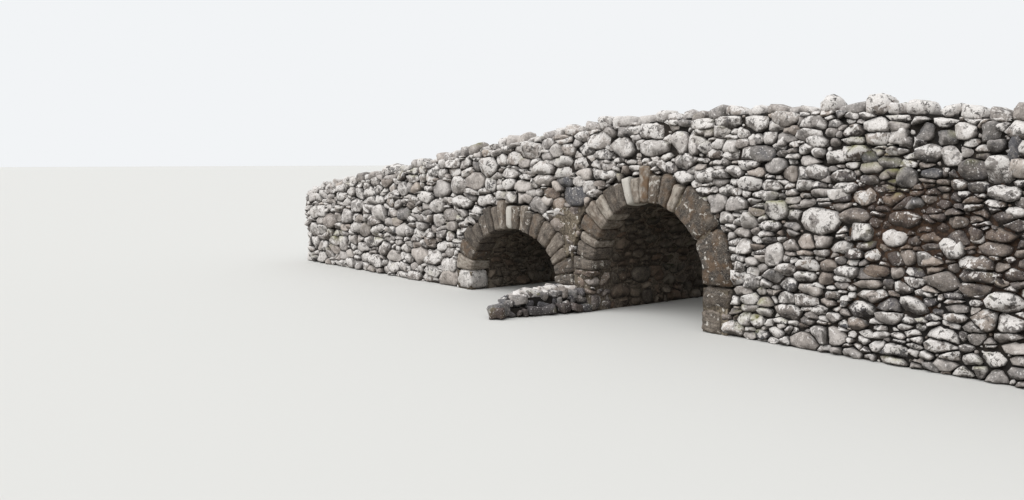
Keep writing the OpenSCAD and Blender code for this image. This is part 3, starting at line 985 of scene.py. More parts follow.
# %% Stones of one piece
def alike(co, groups, finish, look, edge, slab=None):
    """Many stones with the same groups of faces as one part of a piece. Their look is each one's
    lightness, brownness and lichen, and the edge is each corner's share of the way to the rim."""
    count, corners = co.shape[:2]
    stone = np.empty((count, corners, 4))
    stone[..., [0, 1, 3]] = np.stack(look, 1)[:, None]
    stone[..., 2] = edge
    start = np.arange(count)[:, None, None] * corners
    faces = [(group[None] + start).reshape(-1, group.shape[1]) for group in groups]
    part = {"co": co.reshape(-1, 3), "faces": faces, "finish": finish, "stone": stone.reshape(-1, 4)}
    if slab is not None:
        part["slab"] = slab.reshape(-1, 3)
    return part


def stones(batches, chosen, colours, finish):
    """The stones whose middles are chosen, as parts for a piece. Colours turns middles into each
    stone's lightness, brownness and lichen, and a landmark has its own."""
    parts = []
    for batch in batches:
        take = chosen(*batch["middle"].T)
        if not take.any():
            continue
        drawn = np.stack(colours(batch["middle"][take]), 1)
        look = batch["look"][take]
        look = np.where(np.isnan(look), drawn, look)
        parts.append(alike(batch["co"][take], batch["faces"], finish, look.T, batch["edge"][take]))
    return parts


# %% [markdown]
# Round the outside
#
# The outer face is one sheet of masonry that goes round all four corners, so
# that the corner stones turn with it. It stops at the openings, at the rings'
# stepped backs, at the jambs and at the pier. Those limits are looked up in a
# grid over the elevation, worked out once, because each stone's outline asks for
# them many times.

# %% Lines that stones are set along
class Track:
    """A line in plan or in elevation, through places with directions that point out of the wall.
    Walking s along it and stepping out gives a place."""

    def __init__(self, points, outward):
        self.points, self.outward = np.array(points, float), np.array(outward, float)
        self.walked = np.concatenate([[0], np.cumsum(np.hypot(*np.diff(self.points, axis=0).T))])
        self.length = float(self.walked[-1])

    def at(self, s, out=0.0):
        """The place that is s along the line, and then so far out."""
        place = [np.interp(s, self.walked, self.points[:, k]) for k in (0, 1)]
        way = [np.interp(s, self.walked, self.outward[:, k]) for k in (0, 1)]
        size = np.hypot(*way)
        return place[0] + out * way[0] / size, place[1] + out * way[1] / size


def rounded_box_track(middle_x, half_x, half_y, radius, steps=6):
    """A rectangle with rounded corners, walked so that outside is on the right. It starts and
    ends in the middle of its left side."""
    a, b = half_x - radius, half_y - radius
    angle = np.concatenate([np.linspace(k, k + 1, steps) for k in (2, 3, 4, 5)]) * np.pi / 2
    centres = np.repeat([(-a, -b), (a, -b), (a, b), (-a, b)], steps, axis=0)
    outward = np.stack([np.cos(angle), np.sin(angle)], 1)
    points = centres + radius * outward
    points = np.concatenate([[(-half_x, 0)], points, [(-half_x, 0)]]) + [middle_x, 0]
    return Track(points, np.concatenate([[(-1, 0)], outward, [(-1, 0)]]))


# %% Where the elevation is clear
CELL = 0.006  # the step of the grid over the elevation
WINDOW_X = np.arange(LEFT_BREAK - 0.4, RIGHT_BREAK + 0.4, CELL)
WINDOW_Z = np.arange(0, 2.6, CELL)
BED_JOINT = 0.012  # how far the rubble stays from the rings and the jambs


def clear_elevation(face):
    """A grid of yes or no over the arches: whether a wall's rubble may be there."""
    x, z = np.meshgrid(WINDOW_X, WINDOW_Z, indexing="ij")
    clear = (z > pier_top(x)) | (x < pier_low.x) | (x > pier_high.x)
    for side, arch in ARCHES.items():
        rings = RINGS[face, side]
        t, out = ring_place(arch, x, z)
        stone = np.searchsorted(rings[:, 0] - 0.01, t.clip(0.001, 3.14)).clip(1, len(rings)) - 1
        beside = (x - PIER_MIDDLE) * arch["side"] > 0
        clear &= ~(beside & (z > arch["z"]) & (out < rings[stone, 2] + BED_JOINT))
        clear &= (np.abs(x - arch["x"]) > arch["a"]) | (z > arch["z"])
        for co in loose_parts(f"{face}_{side}_jamb"):
            low, high = co.min(0) - BED_JOINT, co.max(0) + BED_JOINT
            clear &= (x < low[0]) | (x > high[0]) | (z < low[2]) | (z > high[2])
    return clear


CLEAR = {face: clear_elevation(face) for face in WAYS}


def is_clear(face, x, z):
    """Looks places up in that grid. Outside it there is rubble everywhere."""
    i = ((x - WINDOW_X[0]) / CELL).astype(int)
    k = (z / CELL).astype(int)
    known = (i >= 0) & (i < len(WINDOW_X)) & (k >= 0) & (k < len(WINDOW_Z))
    return ~known | CLEAR[face][i.clip(0, len(WINDOW_X) - 1), k.clip(0, len(WINDOW_Z) - 1)]


print("clear share:", {face: round(float(grid.mean()), 2) for face, grid in CLEAR.items()})

# %% The outer face
CORNER_RADIUS = 0.09
road_end = corners_of("right_road")
ROAD_THICKNESS = float(np.ptp(road_end[road_end[:, 0] > RIGHT_END - TOUCH, 2]))
outside = rounded_box_track(0, RIGHT_END, OUTER, CORNER_RADIUS)


def outer_place(u, v, out):
    """A place of the outer face: u walks round it, v is the height."""
    x, y = outside.at(u, out)
    return x, y, v


def outer_inside(u, v):
    """Rubble reaches up to the coping's bed, or to the road where an end is open."""
    x, y = outside.at(u)
    ragged = 0.035 * noise(np.stack([u * 3.1, 0 * u, 0 * u], -1), 7)
    top = np.where(np.abs(y) > INNER, bed_z(x) + ragged, road_z(x) - ROAD_THICKNESS)
    clear = np.where(y < 0, is_clear("front", x, v), is_clear("back", x, v))
    return (v > 0) & (v < top) & clear & (u > 0) & (u < outside.length)


def front_landmark(x, z, length, height, look):
    """A stone of the front face that is put where the real one is."""
    front = slice(len(outside.points) // 2)
    u = np.interp(x, outside.points[front, 0], outside.walked[front])
    return u, z, length / 2, height / 2, *LOOKS[look]


# Lightness, brownness and lichen of the kinds of stone that catch the eye
LOOKS = {
    "pale": (0.8, 0.05, 0.6), "crusted": (0.42, 0.12, 0.8), "grey": (0.32, 0.05, 0.12),
    "dark": (0.02, 0.05, 0.2), "brown": (0.25, 0.85, 0.15),
}
# Stones that catch the eye in the photograph, judged one by one: x, z, length and height in metres
NOTABLE = {
    "pale": (
        (-12.62, 0.61, 0.47, 0.36), (-11.85, 1.04, 0.50, 0.27), (-11.55, 0.59, 0.44, 0.27),
        (-10.79, 1.45, 0.70, 0.43), (-8.32, 1.71, 0.62, 0.33), (-7.89, 0.46, 0.68, 0.32),
        (-6.60, 1.90, 0.58, 0.27), (-6.00, 1.98, 0.49, 0.24), (-5.09, 2.09, 0.30, 0.19),
        (-4.39, 1.17, 0.28, 0.28), (-4.30, 1.73, 0.23, 0.19), (-3.73, 2.34, 0.35, 0.24),
        (-3.49, 2.24, 0.31, 0.25), (-3.25, 2.47, 0.33, 0.18), (-2.65, 2.93, 0.65, 0.40),
        (-1.91, 2.92, 0.68, 0.30), (-1.36, 3.00, 0.43, 0.40), (-1.04, 2.99, 0.21, 0.37),
        (-0.38, 1.83, 0.29, 0.20), (-0.34, 2.93, 0.29, 0.23), (-0.04, 1.41, 0.32, 0.27),
        (0.03, 1.80, 0.31, 0.26), (0.14, 1.03, 0.24, 0.19), (0.38, 3.04, 0.23, 0.19),
        (0.48, 3.22, 0.32, 0.19), (0.50, 1.33, 0.32, 0.37), (0.59, 3.01, 0.16, 0.22),
        (1.56, 2.25, 0.36, 0.17), (1.61, 1.52, 0.36, 0.18), (2.40, 3.03, 0.32, 0.22),
        (2.41, 1.70, 0.39, 0.26), (3.11, 2.77, 0.32, 0.28), (3.28, 3.07, 0.29, 0.22),
        (3.49, 1.77, 0.18, 0.16), (3.94, 2.10, 0.25, 0.15),
    ),
    "crusted": (
        (-7.34, 1.84, 0.72, 0.32), (-1.95, 3.20, 0.75, 0.29), (-0.88, 3.29, 0.51, 0.21),
        (-0.82, 2.48, 0.40, 0.28), (-0.38, 3.30, 0.48, 0.20), (-0.12, 1.07, 0.19, 0.24),
        (0.13, 3.27, 0.46, 0.27), (0.54, 1.99, 0.40, 0.32), (1.00, 2.36, 0.33, 0.19),
        (1.18, 2.97, 0.37, 0.18), (1.21, 2.55, 0.36, 0.21), (1.26, 1.86, 0.69, 0.42),
        (1.50, 2.76, 0.31, 0.19), (1.73, 1.18, 0.41, 0.18), (1.91, 1.75, 0.37, 0.27),
        (2.80, 1.44, 0.29, 0.22), (3.19, 1.62, 0.32, 0.31), (3.73, 2.60, 0.33, 0.36),
        (3.80, 2.32, 0.42, 0.20),
    ),
    "grey": (
        (-9.71, 1.50, 0.56, 0.32), (-2.58, 3.20, 0.41, 0.21), (-1.25, 3.31, 0.32, 0.14),
        (0.27, 2.81, 0.40, 0.25), (2.29, 2.69, 0.31, 0.17), (2.55, 2.49, 0.29, 0.29),
        (2.65, 2.16, 0.30, 0.17), (2.76, 3.07, 0.28, 0.27), (3.05, 3.00, 0.30, 0.20),
        (3.61, 3.07, 0.26, 0.27), (3.68, 2.89, 0.24, 0.16),
    ),
    "dark": (
        (-4.13, 2.31, 0.47, 0.24), (-3.86, 2.05, 0.73, 0.36), (2.01, 2.75, 0.26, 0.20),
        (2.89, 2.55, 0.30, 0.14), (3.90, 2.86, 0.14, 0.33),
    ),
    "brown": (
        (-4.50, 2.10, 0.43, 0.24), (2.16, 1.23, 0.39, 0.16),
    ),
}
# A course of thin flat stones over the right arch, at the road's level
THIN = [(-3.05 + 0.31 * k, 2.68 + 0.03 * (k % 2), 0.27, 0.09) for k in range(9)]
NOTABLE["pale"] += tuple(THIN[::2])
NOTABLE["crusted"] += tuple(THIN[1::2])
LANDMARKS = np.array([front_landmark(*stone, look) for look, found in NOTABLE.items() for stone in found])
LANDMARKS = LANDMARKS[outer_inside(*LANDMARKS[:, :2].T)]
print("landmarks:", len(LANDMARKS))


def outer_density(u, v):
    """The left half of the bridge has larger stones than the right."""
    return np.interp(outside.at(u)[0], [-6, 0], [0.48, 1])


def outer_joint(u, v):
    """On the right of the front wall the joints are washed out and gape, and at the back they are
    closer than on the left, where the stones are larger. In the parapets they are closer again."""
    x, y = outside.at(u)
    front, back = np.interp(x, [-2, 1.5], [-0.007, 0.007]), np.interp(x, [-2, 1.5], [-0.007, -0.014])
    return np.where(y < 0, front, back) - 0.007 * (v > road_z(x))


outer = Face(outer_place, outer_inside, (0, outside.length, 0, float(bed_z(0)) + 0.05), 0.138, 2,
             landmarks=LANDMARKS, density=outer_density, joint=outer_joint)
print("outer face:", round(outside.length, 2), "m round")

# %% [markdown]
# Colours of the walls
#
# Most stones are pale grey under their lichen. Round the pier, between the two
# rings, the wall has been pointed with earthy mortar and is brown, and iron has
# stained a patch of the right wall.

# %% Colour of each stone
tint_rng = np.random.default_rng(71)


def bell(x, middle, width):
    """A smooth hump, one at the middle and falling off over a width."""
    return np.exp(-((x - middle) / width) ** 2)


def wall_colours(middle):
    """Lightness, brownness and lichen of wall stones by where they are."""
    x, y, z = middle.T
    count = len(x)
    rusty = 1.2 * bell(x, 2.4, 0.9) * bell(z, 1.95, 0.6) + 0.8 * bell(x, 4.4, 1.5) * bell(z, 1.7, 0.8)
    muddy = bell(x, PIER_MIDDLE, 0.9) * bell(z, 0.9, 1.1) + rusty * (y < 0)
    crusted = tint_rng.uniform(size=count) < 0.68 - 0.45 * muddy + 0.08 * (z > road_z(x))
    tone = np.where(crusted, 0.51, 0.61) + tint_rng.normal(0, 0.19, count) - 0.45 * muddy
    # The wall is lighter on the left, and again high up by the left arch
    tone = tone + 0.09 * np.tanh(-(x + 0.5)) + 0.09 * bell(x, -4.6, 1.3) * (z > 2.2)
    # The highest part, over 2.6 m, is lighter, and more so on the right of the crest
    tone = tone + (0.025 + 0.08 * (x > 0)) * (z > 2.6)
    hue = tint_rng.beta(0.7, 2.6, count) * 0.8 + 0.6 * muddy
    lichen = np.where(crusted, tint_rng.uniform(0.55, 1, count), tint_rng.uniform(0, 0.4, count))
    return tone.clip(0.02, 1), hue.clip(0, 1), lichen * (1 - 0.35 * muddy.clip(0, 1))


def damp_colours(middle):
    """Lightness, brownness and lichen under the vaults, where no sun reaches."""
    count = len(middle)
    return tint_rng.uniform(0.3, 0.75, count), tint_rng.beta(1.2, 1.6, count), tint_rng.uniform(0, 0.2, count)


# %% Stones of the outer face
outer_stones = masonry(outer, FINE)
print("outer stones:", [len(batch["middle"]) for batch in outer_stones])

# %% Inner faces of the parapets
def inner_face(way, seed):
    """The road side of a parapet: the front one's for way -1, the back one's for 1."""
    def place(u, v, out):
        return way * u, way * (INNER - out) + 0 * u, v

    def inside(u, v):
        x = way * u
        return (v > road_z(x)) & (v < bed_z(x) - 0.004) & (np.abs(u) < RIGHT_END - CORNER_RADIUS)

    extent = (LEFT_END, RIGHT_END, float(road_z(LEFT_END)), float(bed_z(0)) + 0.05)
    return Face(place, inside, extent, 0.175, seed)


inner_stones = {"front": masonry(inner_face(-1, 31), PLAIN), "back": masonry(inner_face(1, 32), PLAIN)}
print("inner stones:", {face: sum(len(b["middle"]) for b in found) for face, found in inner_stones.items()})

# %% [markdown]
# Mortar and earth
#
# Lime mortar was thrown over the joints by the pier, and rusty earth has washed
# into those of the right wall. Filling single joints would take a shape for
# each. A lumpy sheet just behind the stones' faces does it at once, because the
# stones stand through it and hide the rest.

# %% Mortar and earth over the joints
def smeared(way, extent, fullness, clear, finish, least=0.015, step=0.025):
    """Mortar or earth pressed into the joints of a part of a wall's face, as a grid of depths
    behind that face: the least where the fullness is one, and 100 mm where it is nought."""
    x0, x1, z0, z1 = extent
    x, z = np.meshgrid(np.arange(x0, x1, step), np.arange(z0, z1, step), indexing="ij")
    spots = np.stack([x, z, 0 * x], -1)
    full = (fullness(x, z) + 0.35 * noise(spots * 3.5, 5)).clip(0, 1)
    behind = 0.1 - (0.1 - least) * full + 0.016 * noise(spots * 12, 6)
    above = np.stack([x, way * (OUTER - behind), z], -1).reshape(-1, 3)
    below = np.stack([x, 0 * x + way * (OUTER - 0.14), z], -1).reshape(-1, 3)
    quads = sheet_quads(*x.shape)
    quads = quads[clear(x, z).ravel()[quads].all(1)]
    used, quads = np.unique(quads, return_inverse=True)
    quads = quads.reshape(-1, 4)
    if way > 0:
        quads = quads[:, ::-1]
    return closed_sheet(above[used], below[used], quads, finish)


def between_rings(x, z):
    """Mortar was thrown over the joints between the two rings, to a little above them."""
    return 1.6 * bell(x, PIER_MIDDLE, 0.62) / (1 + np.exp((z - 1.85) / 0.1))


def below_road(x, z):
    """The part of a wall that is under its parapet."""
    return z < road_z(x)


def anywhere(x, *others):
    """A condition that holds everywhere, for stones and for sheets that nothing cuts into."""
    return np.ones(np.shape(x), bool)


def rusty_patch(x, z):
    """Rusty earth has filled the joints of one patch of the right wall."""
    return 0.85 * bell(x, 2.5, 0.9) * bell(z, 1.85, 0.55) + 0.7 * bell(x, 4.6, 1.2) * bell(z, 1.4, 0.55)


# %% Walls, parapets and ends
# Where each length starts and ends. The outer ones take the stones that stand out at the ends too
SPANS = {
    "left": (LEFT_END - 1, LEFT_BREAK), "middle": (LEFT_BREAK, RIGHT_BREAK),
    "right": (RIGHT_BREAK, RIGHT_END + 1),
}
WALLS = {"left": "{}_left_wing", "middle": "{}_spandrel", "right": "{}_right_wing"}
END_FACES = {"left": [(0, LEFT_END, -1)], "middle": [], "right": [(0, RIGHT_END, 1)]}
GUSSET = (-5.1, -2.6, 0.3, 2.2)  # the mortar between the rings: its least and most x, then z
RUSTY_AREA = (0.7, 6.2, 0.7, 2.6)  # the same limits of the rusty earth
for face, way in WAYS.items():
    for side, (low, high) in SPANS.items():
        def in_length(x, y, z):
            return (x >= low) & (x < high) & (y * way > INNER - TOUCH)

        def in_wall(x, y, z):
            return in_length(x, y, z) & (z <= road_z(x))

        def in_parapet(x, y, z):
            return in_length(x, y, z) & (z > road_z(x))

        def by_road(x, y, z):
            return (x >= low) & (x < high)

        faces_out = [(1, way * OUTER, way), (1, way * INNER, -way)]
        wall, parapet = WALLS[side].format(face), f"{face}_{side}_parapet"
        parts = stones(outer_stones, in_wall, wall_colours, FIELDSTONE)
        parts.append(core(wall, JOINT_EARTH, *drawn_in(faces_out[0], *END_FACES[side])))
        if side == "middle":
            parts.append(smeared(way, GUSSET, between_rings, partial(is_clear, face), MORTAR, 0.0))
        if side == "right" and face == "front":
            parts.append(smeared(way, RUSTY_AREA, rusty_patch, below_road, RUSTY_EARTH, 0.053, 0.04))
        make_piece(f"{wall}_stones", "rubble_stone", parts, wall)
        parts = stones(outer_stones, in_parapet, wall_colours, FIELDSTONE)
        parts += stones(inner_stones[face], by_road, wall_colours, FIELDSTONE)
        parts.append(core(parapet, JOINT_EARTH, *drawn_in(*faces_out, *END_FACES[side])))
        make_piece(f"{parapet}_stones", "rubble_stone", parts, parapet)

for side, end, way in (("left", LEFT_END, -1), ("right", RIGHT_END, 1)):
    def in_end(x, y, z):
        return (np.abs(y) <= INNER - TOUCH) & (x * way > 0)

    parts = stones(outer_stones, in_end, wall_colours, FIELDSTONE)
    parts.append(core(f"{side}_end_wall", JOINT_EARTH, *drawn_in((0, end, way))))
    make_piece(f"{side}_end_wall_stones", "rubble_stone", parts, f"{side}_end_wall")

# %% [markdown]
# Under the arches
#
# Inside each opening are the soffit, the sides of the pier and the inner faces
# of the abutments. The soffit's stones are laid with their length across the
# bridge, as a mason lays them over a timber centre. All of it was bedded in
# mortar, so the core behind these stones is mortar and lies close to their faces.

# %% Soffits
BEDDED_DEPTH = 0.045  # how far the mortar lies behind the faces of the stones under the arches


def soffit_face(arch, seed):
    """The underside of a vault: u goes round it from the right foot, v across the bridge."""
    t = np.linspace(0, np.pi, 61)
    points = np.stack(on_ring(arch, t, 0), 1)
    outward = points - np.stack(on_ring(arch, t, 0.1), 1)
    line = Track(points, outward)

    def place(u, v, out):
        x, z = line.at(u, out)
        return x, v + 0 * x, z

    def inside(u, v):
        return (u > 0) & (u < line.length) & (np.abs(v) < INNER)

    return Face(place, inside, (0, line.length, -INNER, INNER), 0.3, seed, stretch=0.45, spread=0.25, split=0)


for side, arch, seed in (("left", ARCHES["left"], 41), ("right", ARCHES["right"], 42)):
    found = masonry(soffit_face(arch, seed), PLAIN, proud=(-0.01, 0.015), pins=None, rough=0.8)

    def lifted(co, arch=arch):
        """Draws the soffit back into the vault."""
        t, out = ring_place(arch, co[:, 0], co[:, 2])
        x, z = on_ring(arch, t, np.maximum(out, BEDDED_DEPTH))
        at_soffit = (out < ON_SOFFIT) & (co[:, 2] > arch["z"] - TOUCH)
        return np.where(at_soffit[:, None], np.stack([x, co[:, 1], z], 1), co)

    parts = stones(found, anywhere, damp_colours, DAMP_SHADED_STONE)
    parts.append(core(f"{side}_vault", DAMP_MORTAR, bend=lifted))
    make_piece(f"{side}_vault_stones", "ring_stone", parts, f"{side}_vault")

# %% Abutments and pier
def flat_wall(at, way, height, seed):
    """A wall across the bridge that faces along it: to the right for way 1, left for -1."""
    def place(u, v, out):
        return at + way * out + 0 * u, way * u, v

    def inside(u, v):
        return (np.abs(u) < INNER) & (v > 0) & (v < height - 0.004)

    return Face(place, inside, (-INNER, INNER, 0, height), 0.17, seed, stretch=1.6)


for side, foot, way, seed in (("left", left_foot, 1, 51), ("right", right_foot, -1, 52)):
    at = foot[1].x if way > 0 else foot[0].x
    found = masonry(flat_wall(at, way, foot[1].z, seed), PLAIN)
    parts = stones(found, anywhere, damp_colours, DAMP_SHADED_STONE)
    parts.append(core(f"{side}_abutment", DAMP_MORTAR, *drawn_in((0, at, way), depth=BEDDED_DEPTH)))
    make_piece(f"{side}_abutment_stones", "rubble_stone", parts, f"{side}_abutment")

pier_track = rounded_box_track(PIER_MIDDLE, PIER_MIDDLE - pier_low.x, OUTER, 0.07)


def pier_place(u, v, out):
    """A place of the pier: u walks round it, v is the height."""
    x, y = pier_track.at(u, out)
    return x, y, v


def pier_inside(u, v):
    """The pier stands higher on its right half."""
    x, _ = pier_track.at(u)
    top = pier_top(x) - 0.006
    return (v > 0) & (v < top) & (u > 0) & (u < pier_track.length)


def pier_colours(middle):
    """The pier is brown outside."""
    return [tint_rng.uniform(low, high, len(middle)) for low, high in ((0.1, 0.6), (0.3, 0.9), (0, 0.4))]


pier_face = Face(pier_place, pier_inside, (0, pier_track.length, 0, right_foot[1].z), 0.19, 61, stretch=1.5)
pier_found = masonry(pier_face, PLAIN)


def on_end(x, y, z):
    """Stones at the pier's ends, which look out of the bridge."""
    return np.abs(y) > INNER


def under_arch(x, y, z):
    """Stones on the pier's sides, which look into the arches."""
    return np.abs(y) <= INNER


parts = stones(pier_found, on_end, pier_colours, FIELDSTONE)
parts += stones(pier_found, under_arch, damp_colours, DAMP_SHADED_STONE)
pier_sides = ((0, pier_low.x, -1), (0, pier_high.x, 1), (1, -OUTER, -1), (1, OUTER, 1))
parts.append(core("pier", DAMP_MORTAR, *drawn_in(*pier_sides, depth=BEDDED_DEPTH)))


def under_rings(x, z):
    """The pier's end, below the feet of the two rings."""
    return z < pier_top(x) - 0.01


def nearly_full(x, z):
    """Mortar that fills nine tenths of the joints' depth."""
    return 0.9 + 0 * x


for way in WAYS.values():
    extent = (pier_low.x + 0.03, pier_high.x - 0.02, 0, right_foot[1].z)
    parts.append(smeared(way, extent, nearly_full, under_rings, MORTAR))
make_piece("pier_stones", "rubble_stone", parts, "pier")

# %% [markdown]
# Blocks
#
# The ring's slabs, the jamb stones and the coping's boulders are free-standing
# blocks. Each is the grid of a cube's surface, pulled in to a superellipsoid,
# whose power says how square it is: 2 is an egg and 8 is a box with worn edges.
# The same grid is then bent to the ring, or set on the wall's bed.

# %% A cube's surface
def cube_grid(cells):
    """Corners and faces of a cube from -1 to 1, with so many cells along each axis. Lines crowd
    towards the edges, as the sine of an even step, so that the edges round off smoothly."""
    corners, faces = [], []
    for axis in range(3):
        b, c = (axis + 1) % 3, (axis + 2) % 3
        for way in (-1, 1):
            i, k = np.meshgrid(np.arange(cells[b] + 1), np.arange(cells[c] + 1), indexing="ij")
            co = np.empty((i.size, 3))
            co[:, axis] = way
            co[:, b] = np.sin(np.pi / 2 * (2 * i.ravel() / cells[b] - 1))
            co[:, c] = np.sin(np.pi / 2 * (2 * k.ravel() / cells[c] - 1))
            start = sum(map(len, corners))
            n = (np.arange(cells[b])[:, None] * (cells[c] + 1) + np.arange(cells[c])).ravel() + start
            quad = np.stack([n, n + cells[c] + 1, n + cells[c] + 2, n + 1], 1)
            corners.append(co)
            faces.append(quad if way > 0 else quad[:, ::-1])
    corners = np.concatenate(corners)
    places, same = np.unique(np.round(corners, 6), axis=0, return_inverse=True)
    return places, same.ravel()[np.concatenate(faces)]


def rounded(q, power):
    """Corners of a cube pushed in to where the p-th powers of x, y and z add up to one."""
    return q / (np.abs(q) ** power).sum(-1, keepdims=True) ** (1 / power)


def rough_blocks(q, power, place, rng, amount):
    """Blocks whose corners are q, rounded to a power each, placed in the bridge and roughened
    along the way from each block's middle. Place turns the rounded corners into metres."""
    body = rounded(np.broadcast_to(q, (len(power), *q.shape)), power[:, None, None])
    co = place(body)
    own = rng.uniform(0, 50, (len(power), 1, 3))
    bumps = 0.55 * noise(co * 7 + own) + 0.45 * noise(co * 20 + own, 1)
    way = co - co.mean(1, keepdims=True)
    way = way / np.sqrt((way ** 2).sum(-1, keepdims=True)).clip(0.01)
    return body, co + way * bumps[..., None] * amount


def rim_share(body, power):
    """How near the corners of rounded blocks are to a rim: the middle one of the three distances
    from the block's middle, to a power. It is one where two sides meet."""
    return np.sort(np.abs(body), axis=-1)[..., 1] ** power


def own_half(arch, x, gap):
    """Keeps an arch's stones on its own half of the pier, with a gap to the pier's middle."""
    beside = PIER_MIDDLE + arch["side"] * gap
    return np.maximum(x, beside) if arch["side"] > 0 else np.minimum(x, beside)


# %% Mortar of the rings
BAND_BACK = 0.055  # how far the mortar lies behind the slabs' faces, and out from the soffit
BAND_STEPS = 60


def ring_band(arch, rings, y0, y1):
    """A band of mortar that the slabs are bedded in: a rectangle carried round the arch, which
    ends 50 mm inside the back of the shallowest slab."""
    t = np.linspace(0.01, np.pi - 0.01, BAND_STEPS)[:, None]
    top = rings[:, 2].min() - 0.05
    x, z = on_ring(arch, t, np.array([BAND_BACK, top, top, BAND_BACK]))
    y = np.array([y0, y0, y1, y1])
    co = np.stack([own_half(arch, x, 0.012), y + 0 * t, z], -1).reshape(-1, 3)
    n = np.arange(BAND_STEPS - 1)[:, None] * 4
    k = np.arange(4)
    quads = np.stack([n + k, n + 4 + k, n + 4 + (k + 1) % 4, n + (k + 1) % 4], -1).reshape(-1, 4)
    ends = np.stack([k, 4 * BAND_STEPS - 1 - k])
    return {"co": co, "faces": [quads, ends], "finish": MORTAR, "smooth": [False, False]}


# %% Rings
RING_GRID = cube_grid((4, 7, 4))
SLAB_OPENING = 0.003  # how far a slab stays back from the model's joint on each side
BROAD = 0.3  # a slab that takes more of the ring than this is broad, in radians
PALE_SLAB = {"left": 1.64, "right": 1.87}  # where each front ring has one white slab, in radians
for (face, side), rings in RINGS.items():
    arch = ARCHES[side]
    rng = np.random.default_rng(81 + 2 * (face == "back") + (side == "right"))
    q, quads = RING_GRID
    t0, t1, depth, y0, y1 = (rings[:, k, None] for k in range(5))
    t0, t1 = t0 + SLAB_OPENING / arch["a"], t1 - SLAB_OPENING / arch["a"]
    count = len(rings)
    ragged = rng.uniform(-0.04, 0.02, (count, 1))
    standing = rng.uniform(-0.018, 0.012, (count, 1)) * WAYS[face]
    # The broad ones are rough blocks, and the narrow ones were split more evenly
    broad = (t1 - t0 > BROAD)[:, 0]
    rough = np.where(broad, 0.055, 0.024)[:, None, None]

    def on_stone(body):
        t = (t0 + t1) / 2 + body[..., 0] * (t1 - t0) / 2
        out = (1 + body[..., 1]) / 2 * (depth + ragged)
        x, z = on_ring(arch, t, out)
        y = (y0 + y1) / 2 + body[..., 2] * (y1 - y0) / 2 + standing
        return np.stack([own_half(arch, x, 0.008), y, z], -1)

    body, co = rough_blocks(q, rng.uniform(7, 15, count), on_stone, rng, rough)
    middle = (rings[:, 0] + rings[:, 1]) / 2
    along = middle[:, None] * arch["a"] + body[..., 0] * (t1 - t0) / 2 * arch["a"]
    slab = np.stack([along + rng.uniform(0, 9, (count, 1)), (1 + body[..., 1]) / 2 * depth, co[..., 1]], -1)
    pale = (np.arange(count) == np.abs(middle - PALE_SLAB[side]).argmin()) & (face == "front")
    tone = rng.uniform(0.33, 0.95, count) - 0.45 * broad - 0.1 * (side == "left")
    # Iron stains the slab at the crown, and the broad ones a little
    rusty = 0.8 * (np.abs(middle - np.pi / 2) < 0.06) + 0.3 * broad
    hue = (rng.beta(0.8, 3, count) + rusty).clip(0, 1) * ~pale
    lichen = rng.uniform(0.0, 0.5, count) * (1 - 0.6 * broad) + 0.2 * broad
    look = (np.where(pale, 1.0, tone), hue, np.where(pale, 1.0, lichen))
    part = alike(co, [quads], SCHIST, look, rim_share(body, 3), slab)
    # The band stays behind the slabs' faces, which look to -Y in front and to +Y at the back
    behind = (y0.max() + BAND_BACK, y1.max()) if face == "front" else (y1.min() - BAND_BACK, y0.min())
    band = ring_band(arch, rings, *behind)
    if face == "back":
        band["faces"] = [quad[:, ::-1] for quad in band["faces"]]
    make_piece(f"{face}_{side}_ring_slabs", "ring_stone", [part, band], f"{face}_{side}_ring")

# %% Jambs
JAMB_GRID = cube_grid((9, 8, 8))
WHITE_JAMB = 0.27  # how high up the left arch's front jamb has a white block
for face in WAYS:
    for side in ARCHES:
        node = f"{face}_{side}_jamb"
        boxes = np.array([[co.min(0), co.max(0)] for co in loose_parts(node)])
        rng = np.random.default_rng(91 + 2 * (face == "back") + (side == "right"))
        q, quads = JAMB_GRID
        middle, half = boxes.mean(1)[:, None], np.ptp(boxes, axis=1)[:, None] / 2

        def in_box(body):
            return middle + body * half

        count = len(boxes)
        body, co = rough_blocks(q, rng.uniform(4, 7, count), in_box, rng, 0.05)
        co[..., 2] = co[..., 2].clip(0.001)
        slab = co[..., [2, 0, 1]]
        at_white = np.abs(boxes[:, :, 2].mean(1) - WHITE_JAMB) < 0.12
        white = at_white & (side == "left") & (face == "front")
        tone = rng.uniform(0.3, 0.6, count) + 0.3 * white
        hue = rng.uniform(0.0, 0.4, count) * ~white
        lichen = rng.uniform(0.1, 0.5, count) + 0.4 * (side == "left")
        finish = FIELDSTONE if side == "left" else SCHIST
        part = alike(co, [quads], finish, (tone, hue, lichen), rim_share(body, 4) * 0.95, slab)
        low, high = boxes.min((0, 1)), boxes.max((0, 1))
        extent = (low[0] + 0.02, high[0] - 0.02, 0, high[2] - 0.02)
        bed = smeared(WAYS[face], extent, nearly_full, anywhere, MORTAR, 0.02)
        make_piece(f"{node}_blocks", "ring_stone", [part, bed], node)

# %% Coping
COPING_GRID = cube_grid((4, 4, 3))
LONG_BED = 0.42  # a bed longer than this takes two boulders
ON_TOP = 9  # a height above everything, so that boulders are coloured as the parapet's stones are


